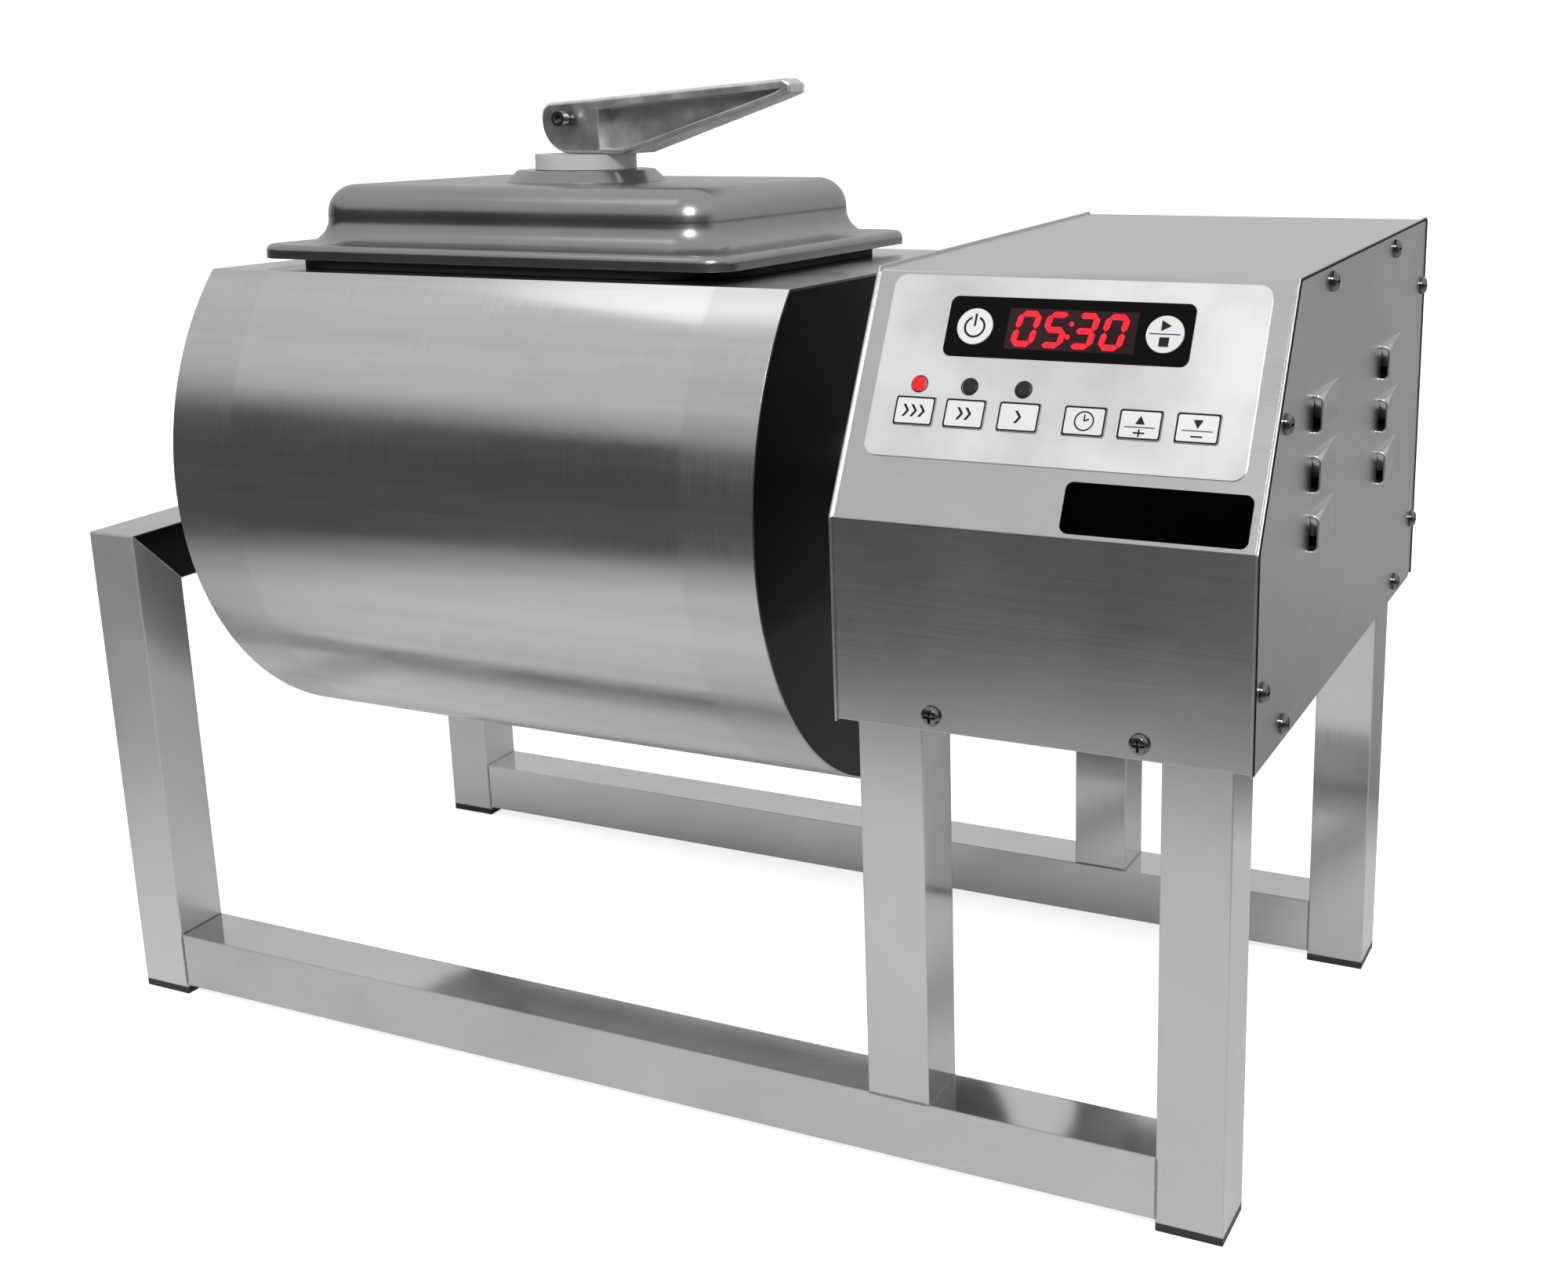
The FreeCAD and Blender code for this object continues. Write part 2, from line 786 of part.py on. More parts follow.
def louvre_hood(y, z, shrink):
    """A rounded bar on the plate under a slanting face that meets the plate at its back end."""
    rise = S.louvre_rise - shrink
    half = S.louvre_height / 2 - shrink
    corner = S.louvre_corner - shrink
    inner_face = BOX_RIGHT - S.plate_thickness
    ridge = BOX_RIGHT + rise - corner
    length = S.louvre_length
    bar = joined(
        block((ridge + corner - inner_face, length, 2 * (half - corner)), (inner_face, y, z - half + corner)),
        block((ridge - inner_face, length, 2 * half), (inner_face, y, z - half)),
        rod(corner, length, (ridge, y, z - half + corner), "y"),
        rod(corner, length, (ridge, y, z + half - corner), "y"),
    )
    lean = math.degrees(math.atan2(S.louvre_rise.value, length.value))
    above = DOC.addObject("Part::Box", "Above")
    bind(above, "Length", 2 * S.louvre_rise)
    bind(above, "Width", 2 * length)
    bind(above, "Height", 2 * S.louvre_height)
    move(above, BOX_RIGHT + rise, y, z - S.louvre_height, turn=FreeCAD.Rotation(Z_AXIS, lean))
    behind = block((2 * corner, length, 2 * half), (inner_face - 2 * corner, y, z - half))
    return cut(bar, above, behind)


def build_right_plate():
    """Right plate with six pressed louvres: each hood opens to the front and fades to the back."""
    body = side_plate()
    right_face = BOX_RIGHT - S.plate_thickness
    move(body, right_face, 0, 0)
    hoods = [louvre_hood(y, z, as_size(0)) for y, z in louvre_places()]
    hollows = [louvre_hood(y, z, S.louvre_sheet) for y, z in louvre_places()]
    holes = [rod(S.screw_radius, S.plate_thickness, (right_face, y, z), "x")
             for y, z in side_screw_places()]
    deliver(cut(joined(body, *hoods), *hollows, *holes), "box_right_plate")


def build_tray():
    """Bottom tray of the box, welded round the four legs, with upturned front and back edges."""
    depth = BOX_BACK - BOX_FRONT - 2 * S.box_sheet
    start = BOX_FRONT + S.box_sheet
    inside = (COVER_LEFT + S.box_sheet, start, S.box_bottom)
    length = COVER_LENGTH - 2 * S.box_sheet
    floor = block((length, depth, S.box_sheet), inside)
    front = block((length, S.box_sheet, S.tray_upstand), inside)
    back = block(
        (length, S.box_sheet, S.tray_upstand),
        (inside[0], BOX_BACK - 2 * S.box_sheet, S.box_bottom),
    )
    tools = [
        block((S.tube, S.tube, S.tray_upstand), (x, y, S.box_bottom))
        for x in (MIDDLE_LEG_X, S.frame_length - S.tube)
        for y in (as_size(0), S.frame_depth - S.tube)
    ]
    tools += cover_screw_holes()
    deliver(cut(joined(floor, front, back), *tools), "box_tray")


def build_screw_pattern():
    """A pan-head screw with a cross recess, its head above the origin and its shank below."""
    head = S.head_height
    body = new_body()
    sketch = add_sketch(body, "XZ_Plane")
    add_polygon(sketch, [
        (0, -S.screw_length),
        (S.screw_radius, -S.screw_length),
        (S.screw_radius, 0),
        (S.head_radius, 0),
        (S.head_radius, S.head_wall),
        (S.head_radius * 0.78, head * 0.85),
        (S.head_radius * 0.4, head),
        (0, head),
    ])
    revolve(body, sketch)
    cross = add_sketch(body, "XY_Plane", head)
    half = S.head_slot / 2
    reach = S.head_radius * 0.62
    add_polygon(cross, [
        (-half, -reach), (half, -reach), (half, -half), (reach, -half),
        (reach, half), (half, half), (half, reach), (-half, reach),
        (-half, half), (-reach, half), (-reach, -half), (-half, -half),
    ])
    pocket(body, cross, head * 0.45)
    return body


def screw_group(name, pattern, places):
    """Copies of the screw pattern, each at its place and turned to face out of its panel."""
    copies = []
    for at, turn in places:
        copy = DOC.addObject("App::Link", "Screw")
        copy.LinkedObject = pattern
        copy.LinkTransform = False
        move(copy, *at, turn=turn)
        copies.append(copy)
    deliver(group(*copies), name)


def build_screws():
    pattern = build_screw_pattern()
    to_right = FreeCAD.Rotation(Y_AXIS, 90)
    to_left = FreeCAD.Rotation(Y_AXIS, -90)
    to_front = FreeCAD.Rotation(X_AXIS, 90)
    to_back = FreeCAD.Rotation(X_AXIS, -90)
    sides = side_screw_places()
    right = [((BOX_RIGHT, y, z), to_right) for y, z in sides]
    left = [((BOX_LEFT, y, z), to_left) for y, z in sides]
    screw_group("side_plate_screws", pattern, right + left)
    low = S.box_bottom + S.screw_inset
    front = [((x, BOX_FRONT, low), to_front) for x in cover_screw_columns()]
    back = [((x, BOX_BACK, low), to_back) for x in cover_screw_columns()]
    screw_group("cover_screws", pattern, front + back)


def key_columns():
    """Middles of the oblong keys, from the box's left side."""
    return [S.panel_left + S.panel_width * share for share in KEY_SHARES]


def lens_columns():
    return [S.panel_left + S.panel_width * share for share in LENS_SHARES]


def round_key_columns():
    right = S.window_left + S.window_width
    return (S.window_left + S.power_key_inset, right - S.start_key_inset)


def window_middle():
    return S.window_left + S.window_width / 2, S.window_low + S.window_height / 2


def build_membrane():
    """Label plate on the slope with openings for its keys, lenses and display window."""
    body = rounded_plate(S.panel_width, S.panel_height, S.panel_thickness, S.panel_corner)
    middle_u = S.panel_left + S.panel_width / 2
    middle_v = S.panel_low + S.panel_height / 2
    sketch = add_sketch(body, "XY_Plane")
    gap = 2 * S.key_gap
    for u in key_columns():
        add_rectangle(sketch, u - middle_u, S.key_centre_v - middle_v, S.key_width + gap,
                      S.key_height + gap)
    for u in lens_columns():
        add_circle(sketch, u - middle_u, S.lens_v - middle_v, S.lens_radius)
    pocket(body, sketch, S.panel_thickness, back=True)
    inside = S.panel_width.value / 2 - S.panel_corner.value

    def is_key_corner(edge, middle, along):
        straight = isinstance(edge.Curve, Part.Line)
        return straight and is_upright(edge, middle, along) and abs(middle.x) < inside

    round_edges(body, S.key_corner, is_key_corner)
    move_on_slope(body, middle_u, middle_v, as_size(0))
    deliver(cut(body, window_plate(S.panel_thickness)), "membrane_panel")


def window_plate(thickness):
    """A plate of the display window's outline, set into the label."""
    body = rounded_plate(S.window_width, S.window_height, thickness, S.window_corner)
    middle_u, middle_v = window_middle()
    move_on_slope(body, middle_u, middle_v, as_size(0))
    return body


def build_window():
    """Black display window with room for the digit block and two round keys."""
    thickness = S.panel_thickness + S.window_proud
    body = window_plate(thickness)
    middle_u, _ = window_middle()
    sketch = add_sketch(body, "XY_Plane")
    add_rectangle(sketch, S.digits_left + S.digits_width / 2 - middle_u, 0, S.digits_width,
                  S.digits_height)
    for u in round_key_columns():
        add_circle(sketch, u - middle_u, 0, S.round_key_radius + S.key_gap)
    pocket(body, sketch, thickness, back=True)
    deliver(body, "display_window")


def board_face():
    return -(S.box_sheet + S.board_depth)


def build_display():
    """Digit block behind the window and three speed lenses, all standing on the board."""
    _, middle_v = window_middle()
    depth = S.panel_thickness - board_face()
    body = new_body()
    sketch = add_sketch(body, "XY_Plane")
    add_rectangle(sketch, 0, 0, S.digits_width, S.digits_height)
    pad(body, sketch, depth)
    move_on_slope(body, S.digits_left + S.digits_width / 2, middle_v, board_face())
    deliver(body, "digit_block")
    lit, *dark = [lamp(u) for u in lens_columns()]
    deliver(lit, "lit_lamp")
    deliver(group(*dark), "dark_lamps")


def lamp(u):
    """A round lens with a softened rim that stands on the board."""
    body = new_body()
    sketch = add_sketch(body, "XY_Plane")
    add_circle(sketch, 0, 0, S.lens_radius)
    height = S.panel_thickness + S.lens_proud - board_face()
    pad(body, sketch, height)
    round_edges(body, S.lens_round, is_far_rim(height))
    move_on_slope(body, as_size(u), S.lens_v, board_face())
    return body


def is_far_rim(height):
    return lambda edge, middle, along: near(middle.z, height.value)


def key_body(outline, flange_outline, corner=None):
    """A key: cap through the label, flange behind it and a stem towards its switch."""
    body = new_body()
    flange_front = -S.key_gap
    flange_back = flange_front - S.key_flange_thickness
    stem_end = board_face() + S.switch_height + S.key_gap + S.key_travel
    cap = add_sketch(body, "XY_Plane", flange_front)
    outline(cap)
    pad(body, cap, S.panel_thickness + S.window_proud + S.key_proud + S.key_gap)
    if corner is not None:
        round_edges(body, corner, is_upright)
    flange = add_sketch(body, "XY_Plane", flange_back)
    flange_outline(flange)
    pad(body, flange, S.key_flange_thickness)
    stem = add_sketch(body, "XY_Plane", stem_end)
    add_circle(stem, 0, 0, S.key_stem_radius)
    pad(body, stem, flange_back - stem_end)
    return body


def build_keys():
    """Six oblong keys and two round ones, each free to travel into the panel."""
    names = ("fast_key", "medium_key", "slow_key", "clock_key", "up_key", "down_key")
    for name, u in zip(names, key_columns()):
        body = key_body(
            lambda sketch: add_rectangle(sketch, 0, 0, S.key_width, S.key_height),
            lambda sketch: add_rectangle(sketch, 0, 0, S.key_width + S.key_flange,
                                         S.key_height + S.key_flange),
            S.key_corner,
        )
        move_on_slope(body, as_size(u), S.key_centre_v, as_size(0))
        deliver(body, name)
    _, middle_v = window_middle()
    for name, u in zip(("power_key", "start_key"), round_key_columns()):
        body = key_body(
            lambda sketch: add_circle(sketch, 0, 0, S.round_key_radius),
            lambda sketch: add_circle(sketch, 0, 0, S.round_key_radius + S.key_flange),
        )
        move_on_slope(body, u, middle_v, as_size(0))
        deliver(body, name)


def build_board():
    """Circuit board behind the slope on four posts, with one switch behind each key."""
    width = S.panel_width + 2 * S.board_side_margin
    height = S.panel_height - 2 * S.board_inset
    left = S.panel_left - S.board_side_margin
    low = S.panel_low + S.board_inset
    plate = block((width, height, S.board_thickness), (0, 0, 0))
    move_on_slope(plate, left, low, board_face() - S.board_thickness)
    pieces = [plate]
    _, round_v = window_middle()
    spots = [(as_size(u), S.key_centre_v) for u in key_columns()]
    spots += [(u, round_v) for u in round_key_columns()]
    for u, v in spots:
        switch = block((S.switch_side, S.switch_side, S.switch_height), (0, 0, 0))
        move_on_slope(switch, u - S.switch_side / 2, v - S.switch_side / 2, board_face())
        pieces.append(switch)
    deliver(joined(*pieces), "control_board")
    posts = []
    inset = S.post_inset
    for u in (left + inset, left + width - inset):
        for v in (low + inset, low + height - inset):
            post = rod(S.post_radius, S.board_depth, (0, 0, 0))
            move_on_slope(post, u, v, board_face())
            posts.append(post)
    deliver(group(*posts), "board_posts")


def build_badge():
    body = rounded_plate(S.badge_width, S.badge_height, S.badge_thickness, S.badge_corner)
    move_on_slope(body, S.badge_left + S.badge_width / 2, S.badge_low + S.badge_height / 2,
                  as_size(0))
    deliver(body, "badge_plate")


def add_drum_section(sketch, radius, flat):
    """A circle about the axis with a flat cut off its top."""
    radius = as_size(radius)
    flat = as_size(flat)
    half = root(radius * radius - flat * flat)
    start = math.atan2(flat.value, -half.value)
    end = math.atan2(flat.value, half.value) + 2 * math.pi
    circle = Part.Circle(FreeCAD.Vector(), Z_AXIS, radius.value)
    arc = sketch.addGeometry(Part.ArcOfCircle(circle, start, end), False)
    left = FreeCAD.Vector(-half.value, flat.value, 0)
    right = FreeCAD.Vector(half.value, flat.value, 0)
    chord = sketch.addGeometry(Part.LineSegment(right, left), False)
    sketch.addConstraint(Sketcher.Constraint("Coincident", arc, 3, -1, 1))
    sketch.addConstraint(Sketcher.Constraint("Coincident", arc, 2, chord, 1))
    sketch.addConstraint(Sketcher.Constraint("Coincident", chord, 2, arc, 1))
    sketch.addConstraint(Sketcher.Constraint("Horizontal", chord))
    rule = sketch.addConstraint(Sketcher.Constraint("Radius", arc, radius.value))
    sketch.setExpression(f"Constraints[{rule}]", radius.text)
    rule = sketch.addConstraint(Sketcher.Constraint("DistanceY", -1, 1, chord, 1, flat.value))
    sketch.setExpression(f"Constraints[{rule}]", flat.text)


def drum_slab(radius, flat, length, x):
    body = new_body()
    sketch = add_sketch(body, "YZ_Plane")
    add_drum_section(sketch, radius, flat)
    pad(body, sketch, length)
    move(body, x, MIDDLE_Y, AXIS_Z)
    return body


def opening_block(grow, height, foot):
    """A block with rounded corners around the opening of the drum."""
    body = rounded_plate(OPENING_LENGTH + 2 * grow, S.opening_width + 2 * grow, height,
                         S.opening_corner + grow)
    move(body, LID_CENTRE_X, MIDDLE_Y, foot)
    return body


def build_drum():
    """Shell with a flat top, its opening collar, two end caps and three inner baffles."""
    inner = S.drum_radius - S.drum_wall
    inner_flat = S.flat_height - S.drum_wall
    outside = drum_slab(S.drum_radius, S.flat_height, DRUM_LENGTH, S.drum_left)
    inside = drum_slab(inner, inner_flat, DRUM_LENGTH, S.drum_left)
    mouth = opening_block(S.collar_wall, 4 * S.drum_wall, FLAT_Z - 2 * S.drum_wall)
    deliver(as_it_stands(cut(outside, inside, mouth)), "drum_shell")
    low = FLAT_Z - S.drum_wall - S.collar_drop
    height = S.drum_wall + S.collar_drop + S.collar_rise
    collar = cut(
        opening_block(S.collar_wall, height, low),
        opening_block(as_size(0), height, low),
    )
    deliver(as_it_stands(collar), "opening_collar")
    caps = [
        drum_slab(inner, inner_flat, S.cap_thickness, x)
        for x in (S.drum_left + S.cap_recess, DRUM_RIGHT - S.cap_recess - S.cap_thickness)
    ]
    deliver(as_it_stands(*caps), "end_caps")
    angles = (-90, -90 - S.baffle_angle, -90 + S.baffle_angle)
    baffles = [shared(baffle(angle), inside) for angle in angles]
    deliver(as_it_stands(*baffles), "mixing_baffles")


def baffle(angle):
    """A blade along the drum that stands on its inner wall and points at the axis."""
    angle = as_size(angle)
    feature = DOC.addObject("Part::Box", "Baffle")
    length = DRUM_LENGTH - 2 * (S.cap_recess + S.cap_thickness)
    bind(feature, "Length", length)
    bind(feature, "Width", S.baffle_height)
    bind(feature, "Height", S.baffle_thickness)
    feature.Placement = FreeCAD.Placement(FreeCAD.Vector(), FreeCAD.Rotation(X_AXIS, angle.value))
    bind(feature, "Placement.Rotation.Angle", angle)
    start = S.drum_radius - S.drum_wall - S.baffle_height
    side = S.baffle_thickness / 2
    bind(feature, "Placement.Base.x", S.drum_left + S.cap_recess + S.cap_thickness - ORIGIN_X)
    bind(feature, "Placement.Base.y",
         MIDDLE_Y + start * cosine(angle) + side * sine(angle) - ORIGIN_Y)
    bind(feature, "Placement.Base.z", AXIS_Z + start * sine(angle) - side * cosine(angle))
    return feature


def build_shafts():
    """Hub plates and stub shafts on both end caps; the right one reaches into the gearbox."""
    left_face = S.drum_left + S.cap_recess
    right_face = DRUM_RIGHT - S.cap_recess
    left_end = LEFT_BEARING_X - S.inner_ring_width / 2 - S.shaft_end_proud
    right_end = GEARBOX_X + S.sleeve_length / 2
    for name, face, end, left in (
        ("left_hub_shaft", left_face, left_end, True),
        ("right_hub_shaft", right_face, right_end, False),
    ):
        plate_x = face - S.hub_plate if left else face
        boss_x = face - S.hub_boss_length if left else face
        shaft_x = end if left else face
        length = face - end if left else end - face
        at = (MIDDLE_Y, AXIS_Z)
        deliver(joined(
            rod(S.hub_radius, S.hub_plate, (plate_x, *at), "x"),
            rod(S.hub_boss_radius, S.hub_boss_length, (boss_x, *at), "x"),
            rod(S.shaft_radius, length, (shaft_x, *at), "x"),
        ), name)


def ring(outer, inner, length, x):
    at = (x, MIDDLE_Y, AXIS_Z)
    return cut(rod(outer, length, at, "x"), rod(inner, length, at, "x"))


def bearing_housing(x):
    """A foot with two bolt holes, a neck and a round hood with the bearing's seat."""
    centre = (x - S.housing_width / 2, MIDDLE_Y, AXIS_Z)
    foot = block(
        (S.tube, S.housing_foot_length, S.housing_foot_height),
        (x - S.tube / 2, MIDDLE_Y - S.housing_foot_length / 2, S.leg_top),
    )
    neck = block(
        (S.housing_width, 2 * S.housing_radius, S.bearing_rise),
        (x - S.housing_width / 2, MIDDLE_Y - S.housing_radius, S.leg_top),
    )
    hood = rod(S.housing_radius, S.housing_width, centre, "x")
    seat = rod(S.bearing_radius, S.housing_width, centre, "x")
    holes = [rod(S.bolt_radius, S.housing_foot_height, (x, y, S.leg_top)) for y in bolt_rows()]
    return cut(joined(foot, neck, hood), seat, *holes)


def build_bearings():
    """A foot-mounted bearing on each of the left and middle crossbars."""
    spots = (LEFT_BEARING_X, RIGHT_BEARING_X)
    deliver(group(*[bearing_housing(x) for x in spots]), "bearing_housings")
    race = S.inner_ring_radius + S.running_gap
    outer = [ring(S.bearing_radius, race, S.bearing_width, x - S.bearing_width / 2) for x in spots]
    deliver(group(*outer), "outer_races")
    inner = [
        ring(S.inner_ring_radius, S.shaft_radius, S.inner_ring_width, x - S.inner_ring_width / 2)
        for x in spots
    ]
    deliver(group(*inner), "inner_races")
    bolts = [hex_bolt(x, y) for x in spots for y in bolt_rows()]
    deliver(group(*bolts), "bearing_bolts")


def hex_prism(radius, height, x, y, z):
    feature = DOC.addObject("Part::Prism", "Hexagon")
    feature.Polygon = 6
    bind(feature, "Circumradius", radius)
    bind(feature, "Height", height)
    move(feature, x, y, z)
    return feature


def hex_bolt(x, y):
    """A bolt down through a bearing foot and its crossbar, with a nut below."""
    low = S.leg_top - S.tube
    length = S.tube + S.housing_foot_height + S.bolt_head_height
    return joined(
        rod(S.bolt_radius, length, (x, y, low - S.bolt_head_height)),
        hex_prism(S.bolt_head_radius, S.bolt_head_height, x, y, S.leg_top + S.housing_foot_height),
        hex_prism(S.bolt_head_radius, S.bolt_head_height, x, y, low - S.bolt_head_height),
    )


def build_drive():
    """Worm gearbox round the drum shaft, its motor and the cradle between the crossbars."""
    middle = GEARBOX_X
    half = S.gearbox_width / 2
    foot_z = AXIS_Z - S.gearbox_foot
    worm_z = AXIS_Z + S.gear_centre
    bore = S.sleeve_radius + S.running_gap
    case = block(
        (S.gearbox_width, S.gearbox_length, worm_z + S.gearbox_head - foot_z),
        (middle - half, MIDDLE_Y - S.gearbox_length / 2, foot_z),
    )
    stand = S.gear_flange_stand
    sides = rod(S.gear_flange_radius, S.gearbox_width + 2 * stand,
                (middle - half - stand, MIDDLE_Y, AXIS_Z), "x")
    hole = rod(bore, S.sleeve_length, (middle - S.sleeve_length / 2, MIDDLE_Y, AXIS_Z), "x")
    deliver(cut(joined(case, sides), hole), "gearbox_case")
    sleeve = ring(S.sleeve_radius, S.shaft_radius, S.sleeve_length, middle - S.sleeve_length / 2)
    deliver(sleeve, "gearbox_sleeve")
    at = (middle, MOTOR_START, worm_z)
    flange = rod(S.motor_flange_radius, S.motor_flange_thickness, at, "y")
    deliver(joined(flange, rod(S.motor_radius, MOTOR_LENGTH, at, "y")), "motor")
    at = (middle, MOTOR_START + MOTOR_LENGTH, worm_z)
    deliver(rod(S.fan_cover_radius, S.fan_cover_length, at, "y"), "motor_fan_cover")
    left = MIDDLE_LEG_X + S.tube
    length = S.frame_length - S.tube - left
    start = MIDDLE_Y - S.cradle_width / 2
    plate_z = foot_z - S.cradle_thickness
    plate = block((length, S.cradle_width, S.cradle_thickness), (left, start, plate_z))
    lips = [
        block((S.cradle_thickness, S.cradle_width, S.cradle_lip), (x, start, plate_z))
        for x in (left, left + length - S.cradle_thickness)
    ]
    deliver(joined(plate, *lips), "gearbox_cradle")
    floor = S.box_bottom + S.box_sheet
    supply = block(
        (S.supply_length, S.supply_depth, S.supply_height),
        (left + S.supply_gap, MIDDLE_Y + S.supply_back, floor),
    )
    deliver(supply, "power_supply")
    driver = block(
        (S.driver_length, S.driver_depth, S.driver_height),
        (left + S.driver_gap, BOX_FRONT + S.driver_front, floor),
    )
    deliver(driver, "motor_driver")


def build_seal():
    """Plastic ring on the left plate round the drive shaft."""
    at = (BOX_LEFT - S.seal_thickness, MIDDLE_Y, AXIS_Z)
    outer = rod(S.seal_radius, S.seal_thickness, at, "x")
    passage = rod(S.shaft_radius + S.seal_gap, S.seal_thickness, at, "x")
    deliver(cut(outer, passage), "shaft_seal")


def build_lid():
    """Pressed lid: a turned-down rim, a flat flange and a dome with a rounded foot and crown."""
    rim_z = FLAT_Z + S.rim_gap
    body = new_body()
    rim = add_sketch(body, "XY_Plane")
    add_rectangle(rim, 0, 0, LID_LENGTH, S.lid_width)
    pad(body, rim, S.rim_height)
    round_edges(body, S.lid_corner, is_upright)
    dome_length = LID_LENGTH - 2 * S.dome_inset
    dome_width = S.lid_width - 2 * S.dome_inset
    dome = add_sketch(body, "XY_Plane")
    add_rectangle(dome, 0, 0, dome_length, dome_width)
    height = S.dome_top - S.rim_gap
    pad(body, dome, height)
    half_length = dome_length.value / 2 + CLOSE
    half_width = dome_width.value / 2 + CLOSE

    def is_dome_corner(edge, middle, along):
        return is_upright(edge, middle, along) and abs(middle.x) < half_length

    round_edges(body, S.dome_corner, is_dome_corner)
    round_edges(body, S.dome_crown, lambda e, middle, a: near(middle.z, height.value))

    def is_foot(edge, middle, along):
        inside = abs(middle.x) < half_length and abs(middle.y) < half_width
        return near(middle.z, S.rim_height.value) and inside

    round_edges(body, S.dome_foot, is_foot)

    def is_rim_edge(edge, middle, along):
        reach = S.dome_foot.value + 1
        outside = abs(middle.x) > half_length + reach or abs(middle.y) > half_width + reach
        return near(middle.z, S.rim_height.value) and outside

    round_edges(body, S.rim_round, is_rim_edge)
    solid = body.Tip
    under = next(
        f"Face{number}" for number, face in enumerate(solid.Shape.Faces, start=1)
        if near(face.CenterOfMass.z, 0)
    )
    shell = body.newObject("PartDesign::Thickness", "Pressed")
    shell.Base = (solid, [under])
    bind(shell, "Value", S.lid_sheet)
    shell.Reversed = True
    refresh(body, shell)
    move(body, LID_CENTRE_X, MIDDLE_Y, rim_z)
    hole = rod(S.spindle_radius + S.key_gap, S.dome_top, (CLAMP_X, MIDDLE_Y, FLAT_Z))
    deliver(as_it_stands(cut(body, hole)), "lid_shell")


def build_gasket():
    """Rubber ring under the lid's flange, round the collar."""
    inside = S.collar_wall + S.seat_gap
    low = FLAT_Z + S.seat_gap
    height = FLANGE_UNDERSIDE - S.running_gap - low
    ring_solid = cut(
        opening_block(inside + S.gasket_width, height, low),
        opening_block(inside, height, low),
    )
    deliver(as_it_stands(ring_solid), "lid_gasket")


def build_boss():
    """Stamped disc in the middle of the dome, under the washer."""
    body = new_body()
    sketch = add_sketch(body, "XZ_Plane")
    hole = S.spindle_radius + S.key_gap
    add_polygon(sketch, [
        (hole, 0), (S.boss_radius, 0), (S.boss_radius - S.boss_crown, S.boss_height),
        (hole, S.boss_height),
    ])
    revolve(body, sketch)
    round_edges(body, S.boss_round, is_far_outer_rim)
    move(body, CLAMP_X, MIDDLE_Y, DOME_TOP)
    deliver(as_it_stands(body), "lid_boss")


def is_far_outer_rim(edge, middle, along):
    reach = math.hypot(middle.x, middle.y)
    return near(middle.z, S.boss_height.value) and reach > 2 * S.spindle_radius.value


def build_clamp():
    """Washer, spindle with its cross bar, cam lever and pivot screw."""
    x = CLAMP_X
    washer = cut(
        rod(S.washer_radius, S.washer_height, (x, MIDDLE_Y, WASHER_FOOT)),
        rod(S.spindle_radius + S.running_gap, S.washer_height, (x, MIDDLE_Y, WASHER_FOOT)),
    )
    deliver(as_it_stands(washer), "nylon_washer")
    bar_low = BAR_TOP - S.bar_thickness
    pin_hole = rod(S.pin_radius + S.running_gap, S.lever_width,
                   (x, MIDDLE_Y - S.lever_width / 2, PIVOT_Z), "y")
    eye = rod(S.eye_radius, S.eye_width, (x, MIDDLE_Y - S.eye_width / 2, PIVOT_Z), "y")
    stem = rod(S.spindle_radius, PIVOT_Z - S.spindle_radius - bar_low, (x, MIDDLE_Y, bar_low))
    deliver(as_it_stands(cut(joined(eye, stem), pin_hole)), "clamp_spindle")
    bar = block(
        (BAR_LENGTH, S.bar_width, S.bar_thickness),
        (x - BAR_LENGTH / 2, MIDDLE_Y - S.bar_width / 2, bar_low),
    )
    hub = rod(S.bar_width / 2, 2 * S.bar_thickness, (x, MIDDLE_Y, bar_low - S.bar_thickness))
    tapped = rod(S.spindle_radius, S.bar_thickness, (x, MIDDLE_Y, bar_low))
    deliver(as_it_stands(cut(joined(bar, hub), tapped)), "clamp_bar")
    build_lever()
    build_pivot_screw()


